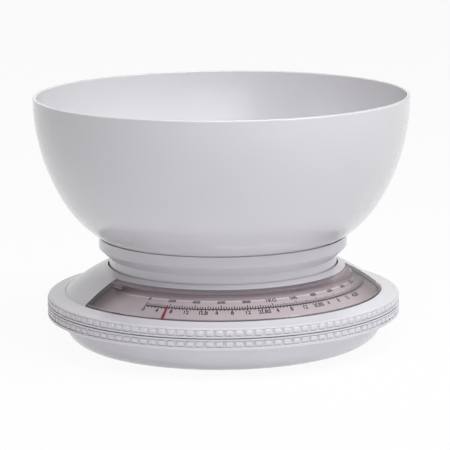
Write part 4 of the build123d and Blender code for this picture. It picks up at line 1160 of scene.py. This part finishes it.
@dataclass
class Window:
    """The clear lens and the snap clips that hold it, seen through its ends."""

    crown: Crown
    clip_thickness: float = 1.0
    clip_round: float = 0.25
    round_steps: int = 2
    clip_depth: float = 2.3
    hollow_wall: float = 0.35
    hollow_depth: float = 0.3
    smooth_angle: float = 40.0
    clips: Tuple[Clip, ...] = (
        Clip(azimuth=-70.0, radius=85.2, width=9.5, length=2.6),
        Clip(azimuth=-58.0, radius=104.0, width=10.5, length=1.8),
        Clip(azimuth=70.0, radius=85.2, width=9.5, length=2.6),
        Clip(azimuth=58.0, radius=104.0, width=10.5, length=1.8),
    )
    name: str = "lens_clips"

    def build(self) -> None:
        """Makes the clips, dresses them and the lens, and sets the clips on the cover."""
        clips = join([self._clip(clip) for clip in self.clips], self.name)
        self.crown.lay(clips, self.clip_depth)
        smooth(clips, self.smooth_angle)
        Finishes.CLIP.dress(clips)
        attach(clips, Body.COVER.value)
        log.info("%s: %d clips", self.name, len(self.clips))
        Finishes.LENS.dress(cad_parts["window_lens"])

    def _clip(self, clip: Clip) -> bpy.types.Object:
        """Models one rounded clip with a hollow in its top.

        Args:
            clip: its place and size.

        Returns:
            The clip's mesh object, lying on height 0.
        """
        clear_choice()
        bpy.ops.mesh.primitive_cube_add(
            size=1.0, location=(0.0, -clip.radius * MM, self.clip_thickness * MM / 2)
        )
        made = bpy.context.object
        made.scale = (clip.width * MM, clip.length * MM, self.clip_thickness * MM)
        settle(made)
        edit_all(made)
        bpy.ops.mesh.bevel(
            offset=self.clip_round * MM, segments=self.round_steps, affect="EDGES"
        )
        bpy.ops.object.mode_set(mode="OBJECT")
        top = self.clip_thickness * MM - self.clip_round * MM / 4
        edit_where(made, lambda place: place.z > top)
        bpy.ops.mesh.inset(thickness=self.hollow_wall * MM, depth=-self.hollow_depth * MM)
        bpy.ops.mesh.select_all(action="SELECT")
        bpy.ops.mesh.subdivide(number_cuts=1)
        bpy.ops.object.mode_set(mode="OBJECT")
        made.data.transform(at_azimuth(clip.azimuth))
        return made


# --- the weighing springs


@dataclass(frozen=True)
class WeighingSpring:
    """A coil between the base and the platform."""

    node: str
    name: str
    foot_end: float = 25.6
    head_start: float = 50.4
    smooth_angle: float = 40.0

    def build(self) -> None:
        """Copies the CAD coil, dresses it, puts its place into its mesh and hides the CAD node."""
        coil = copy_node(self.node, self.name)
        bpy.ops.mesh.normals_make_consistent(inside=False)
        smooth(coil, self.smooth_angle)
        Finishes.SPRING.dress(coil)
        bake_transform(coil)
        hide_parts(self.node)
        log.info("%s: %d points", self.name, len(coil.data.vertices))


# --- what CAD shapes in full


@dataclass(frozen=True)
class Dressing:
    """Finishes for the CAD nodes that stay as they are, by sub-assembly."""

    name: str
    finishes: Tuple[Tuple[Finishes, Tuple[str, ...]], ...]

    def build(self) -> None:
        """Dresses each node."""
        for finish, nodes in self.finishes:
            for node in nodes:
                finish.dress(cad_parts[node])
        log.info("%s: dressed", self.name)


STAND = Dressing(
    "stand",
    (
        (Finishes.RUBBER, ("rubber_feet",)),
        (Finishes.NYLON, ("glide_pads", "rack_guides", "lower_spring_seats")),
        (Finishes.ZINC, ("chassis",)),
        (Finishes.SCREW, ("chassis_screws",)),
        (Finishes.PIN, ("frame_pivot_pins", "crank_pivot_pin")),
        (Finishes.BRASS, ("footstep_bearing", "upper_bush")),
    ),
)
LINKAGE = Dressing(
    "linkage",
    (
        (Finishes.ZINC, ("lower_arm", "upper_arm", "bell_crank", "load_bracket")),
        (Finishes.SCREW, ("bracket_screws",)),
        (Finishes.PIN, ("link_pins", "crank_drive_pin", "crank_tip_pin")),
        (Finishes.NYLON, ("upper_spring_seats", "rack")),
    ),
)
POINTER = Dressing(
    "pointer",
    (
        (Finishes.PIN, ("spindle", "spindle_clip")),
        (Finishes.BRASS, ("pinion", "pointer_hub")),
        (Finishes.ALLOY, ("pointer_arm",)),
        (Finishes.POINTER, ("pointer_finger",)),
    ),
)
TOP = Dressing(
    "top",
    (
        (Finishes.CASING, ("platform_dish",)),
        (Finishes.BOWL, ("bowl",)),
        (Finishes.DIAL, ("dial_plate",)),
        (Finishes.SCREW, ("dial_screws",)),
    ),
)


# --- the studio


@dataclass(frozen=True)
class Softbox:
    """One square area lamp aimed at the scale."""

    name: str
    azimuth: float
    elevation: float
    distance: float
    size: float
    power: float
    colour: Colour
    in_gloss: bool = True

    def build(self, aim: Vector) -> None:
        """Adds the lamp.

        Args:
            aim: the point that it lights, in metres.
        """
        turn, rise = math.radians(self.azimuth), math.radians(self.elevation)
        level = math.cos(rise)
        back = Vector((math.sin(turn) * level, -math.cos(turn) * level, math.sin(rise)))
        clear_choice()
        bpy.ops.object.light_add(
            type="AREA",
            location=aim + back * self.distance,
            rotation=(-back).to_track_quat("-Z", "Y").to_euler(),
        )
        lamp = bpy.context.object
        lamp.name = self.name
        lamp.data.size = self.size
        lamp.data.energy = self.power
        lamp.data.color = self.colour
        lamp.visible_glossy = self.in_gloss


TOP_LAMP = Softbox(
    "top_softbox",
    azimuth=10.0, elevation=88.0, distance=1.6, size=0.8, power=3.5, colour=(0.95, 0.98, 1.0),
)
KEY_LAMP = Softbox(
    "key_softbox",
    azimuth=52.0, elevation=50.0, distance=1.5, size=0.8, power=7.0, colour=(0.95, 0.97, 1.0),
)
HIGH_LAMP = Softbox(
    "high_softbox",
    azimuth=0.0, elevation=62.0, distance=1.5, size=0.9, power=11.0, colour=(0.95, 0.97, 1.0),
)
FRONT_LAMP = Softbox(
    "front_softbox",
    azimuth=-12.0, elevation=14.0, distance=1.8, size=1.2, power=3.0, colour=(0.97, 0.97, 1.0),
)
LEFT_LAMP = Softbox(
    "left_softbox",
    azimuth=-62.0, elevation=12.0, distance=1.7, size=0.9, power=0.6, colour=(1.0, 0.9, 0.86),
    in_gloss=False,
)


@dataclass
class Studio:
    """A pale floor, soft lamps, a plain surround and a dark flag that the camera doesn't see."""

    lamps: Tuple[Softbox, ...] = (TOP_LAMP, KEY_LAMP, HIGH_LAMP, FRONT_LAMP, LEFT_LAMP)
    surround: Colour = (0.14, 0.128, 0.136)
    floor_radius: float = 9.0
    floor_corners: int = 96
    aim: Triple = (0.0, 0.0, 0.07)
    flag_place: Triple = (-0.95, -0.55, 0.62)
    flag_size: float = 0.9

    def build(self) -> None:
        """Adds the lamps, the surround, the floor and the dark flag."""
        for lamp in self.lamps:
            lamp.build(Vector(self.aim))
        self._surround()
        self._floor()
        self._flag()
        log.info("studio: %d lamps", len(self.lamps))

    def _floor(self) -> None:
        """Adds the round floor."""
        clear_choice()
        bpy.ops.mesh.primitive_circle_add(
            vertices=self.floor_corners, radius=self.floor_radius, fill_type="NGON"
        )
        floor = bpy.context.object
        floor.name = "studio_floor"
        Finishes.FLOOR.dress(floor)

    def _flag(self) -> None:
        """Adds the dark flag that shades the scale's left side."""
        clear_choice()
        bpy.ops.mesh.primitive_plane_add(size=1.0, location=self.flag_place)
        flag = bpy.context.object
        flag.name = "studio_flag"
        flag.scale = (self.flag_size, self.flag_size, 1.0)
        toward = Vector(self.aim) - Vector(self.flag_place)
        flag.rotation_euler = toward.to_track_quat("Z", "Y").to_euler()
        settle(flag)
        flag.visible_camera = False
        Finishes.FLAG.dress(flag)

    def _surround(self) -> None:
        """Lights softly from all sides and shows white to the camera, in gloss and in glass."""
        world = bpy.data.worlds.new("surround")
        bpy.context.scene.world = world
        graph = Graph(world)
        colour = graph.mix(graph.seen_rays(), rgba(self.surround), rgba(WHITE))
        graph.close(
            graph.wire("ShaderNodeBackground", inputs={"Color": colour, "Strength": 1.0})
        )


@dataclass
class PhotoCamera:
    """The camera of the photograph, from a fit to the rims. Its near and far are in metres."""

    azimuth: float = -17.0
    distance: float = 1683.5
    height: float = 395.1
    aside: float = 1.57
    pitch: float = 10.63
    roll: float = -0.55
    focal_pixels: float = 2557.0
    frame_pixels: float = 450.0
    sensor: float = 36.0
    near: float = 0.05
    far: float = 50.0

    def build(self) -> None:
        """Adds the camera and makes it the scene's."""
        turn = math.radians(self.azimuth)
        across = Vector((math.cos(turn), math.sin(turn), 0.0))
        back = Vector((math.sin(turn), -math.cos(turn), 0.0))
        up = Vector((0.0, 0.0, 1.0))
        place = (back * self.distance + across * self.aside + up * self.height) * MM
        aim = (
            Matrix.Rotation(turn, 4, "Z")
            @ Matrix.Rotation(math.radians(90 - self.pitch), 4, "X")
            @ Matrix.Rotation(math.radians(self.roll), 4, "Z")
        )
        clear_choice()
        bpy.ops.object.camera_add(location=place, rotation=aim.to_euler())
        camera = bpy.context.object
        camera.name = "photo_camera"
        camera.data.sensor_width = self.sensor
        camera.data.lens = self.focal_pixels / self.frame_pixels * self.sensor
        camera.data.clip_start, camera.data.clip_end = self.near, self.far
        bpy.context.scene.camera = camera
        log.info("camera: lens %.1f mm", camera.data.lens)


def main() -> None:
    """Builds the scale's looks and its studio."""
    logging.basicConfig(level=logging.INFO, format="%(name)s: %(message)s")
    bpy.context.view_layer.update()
    bpy.context.scene.view_settings.view_transform = "Standard"
    crown = Crown()
    PhotoCamera().build()
    Studio().build()
    for sub_assembly in (
        BeadedShell("top_cover", "cover_shell", Body.COVER, row_height=31.8),
        BeadedShell("base_pan", "pan_shell", Body.BASE, row_height=24.8),
        DialPrint(crown),
        Window(crown),
        WeighingSpring("left_weighing_spring", "left_spring_coil"),
        WeighingSpring("right_weighing_spring", "right_spring_coil"),
        STAND,
        LINKAGE,
        POINTER,
        TOP,
    ):
        sub_assembly.build()
    clear_choice()


if __name__ == "__main__":
    main()
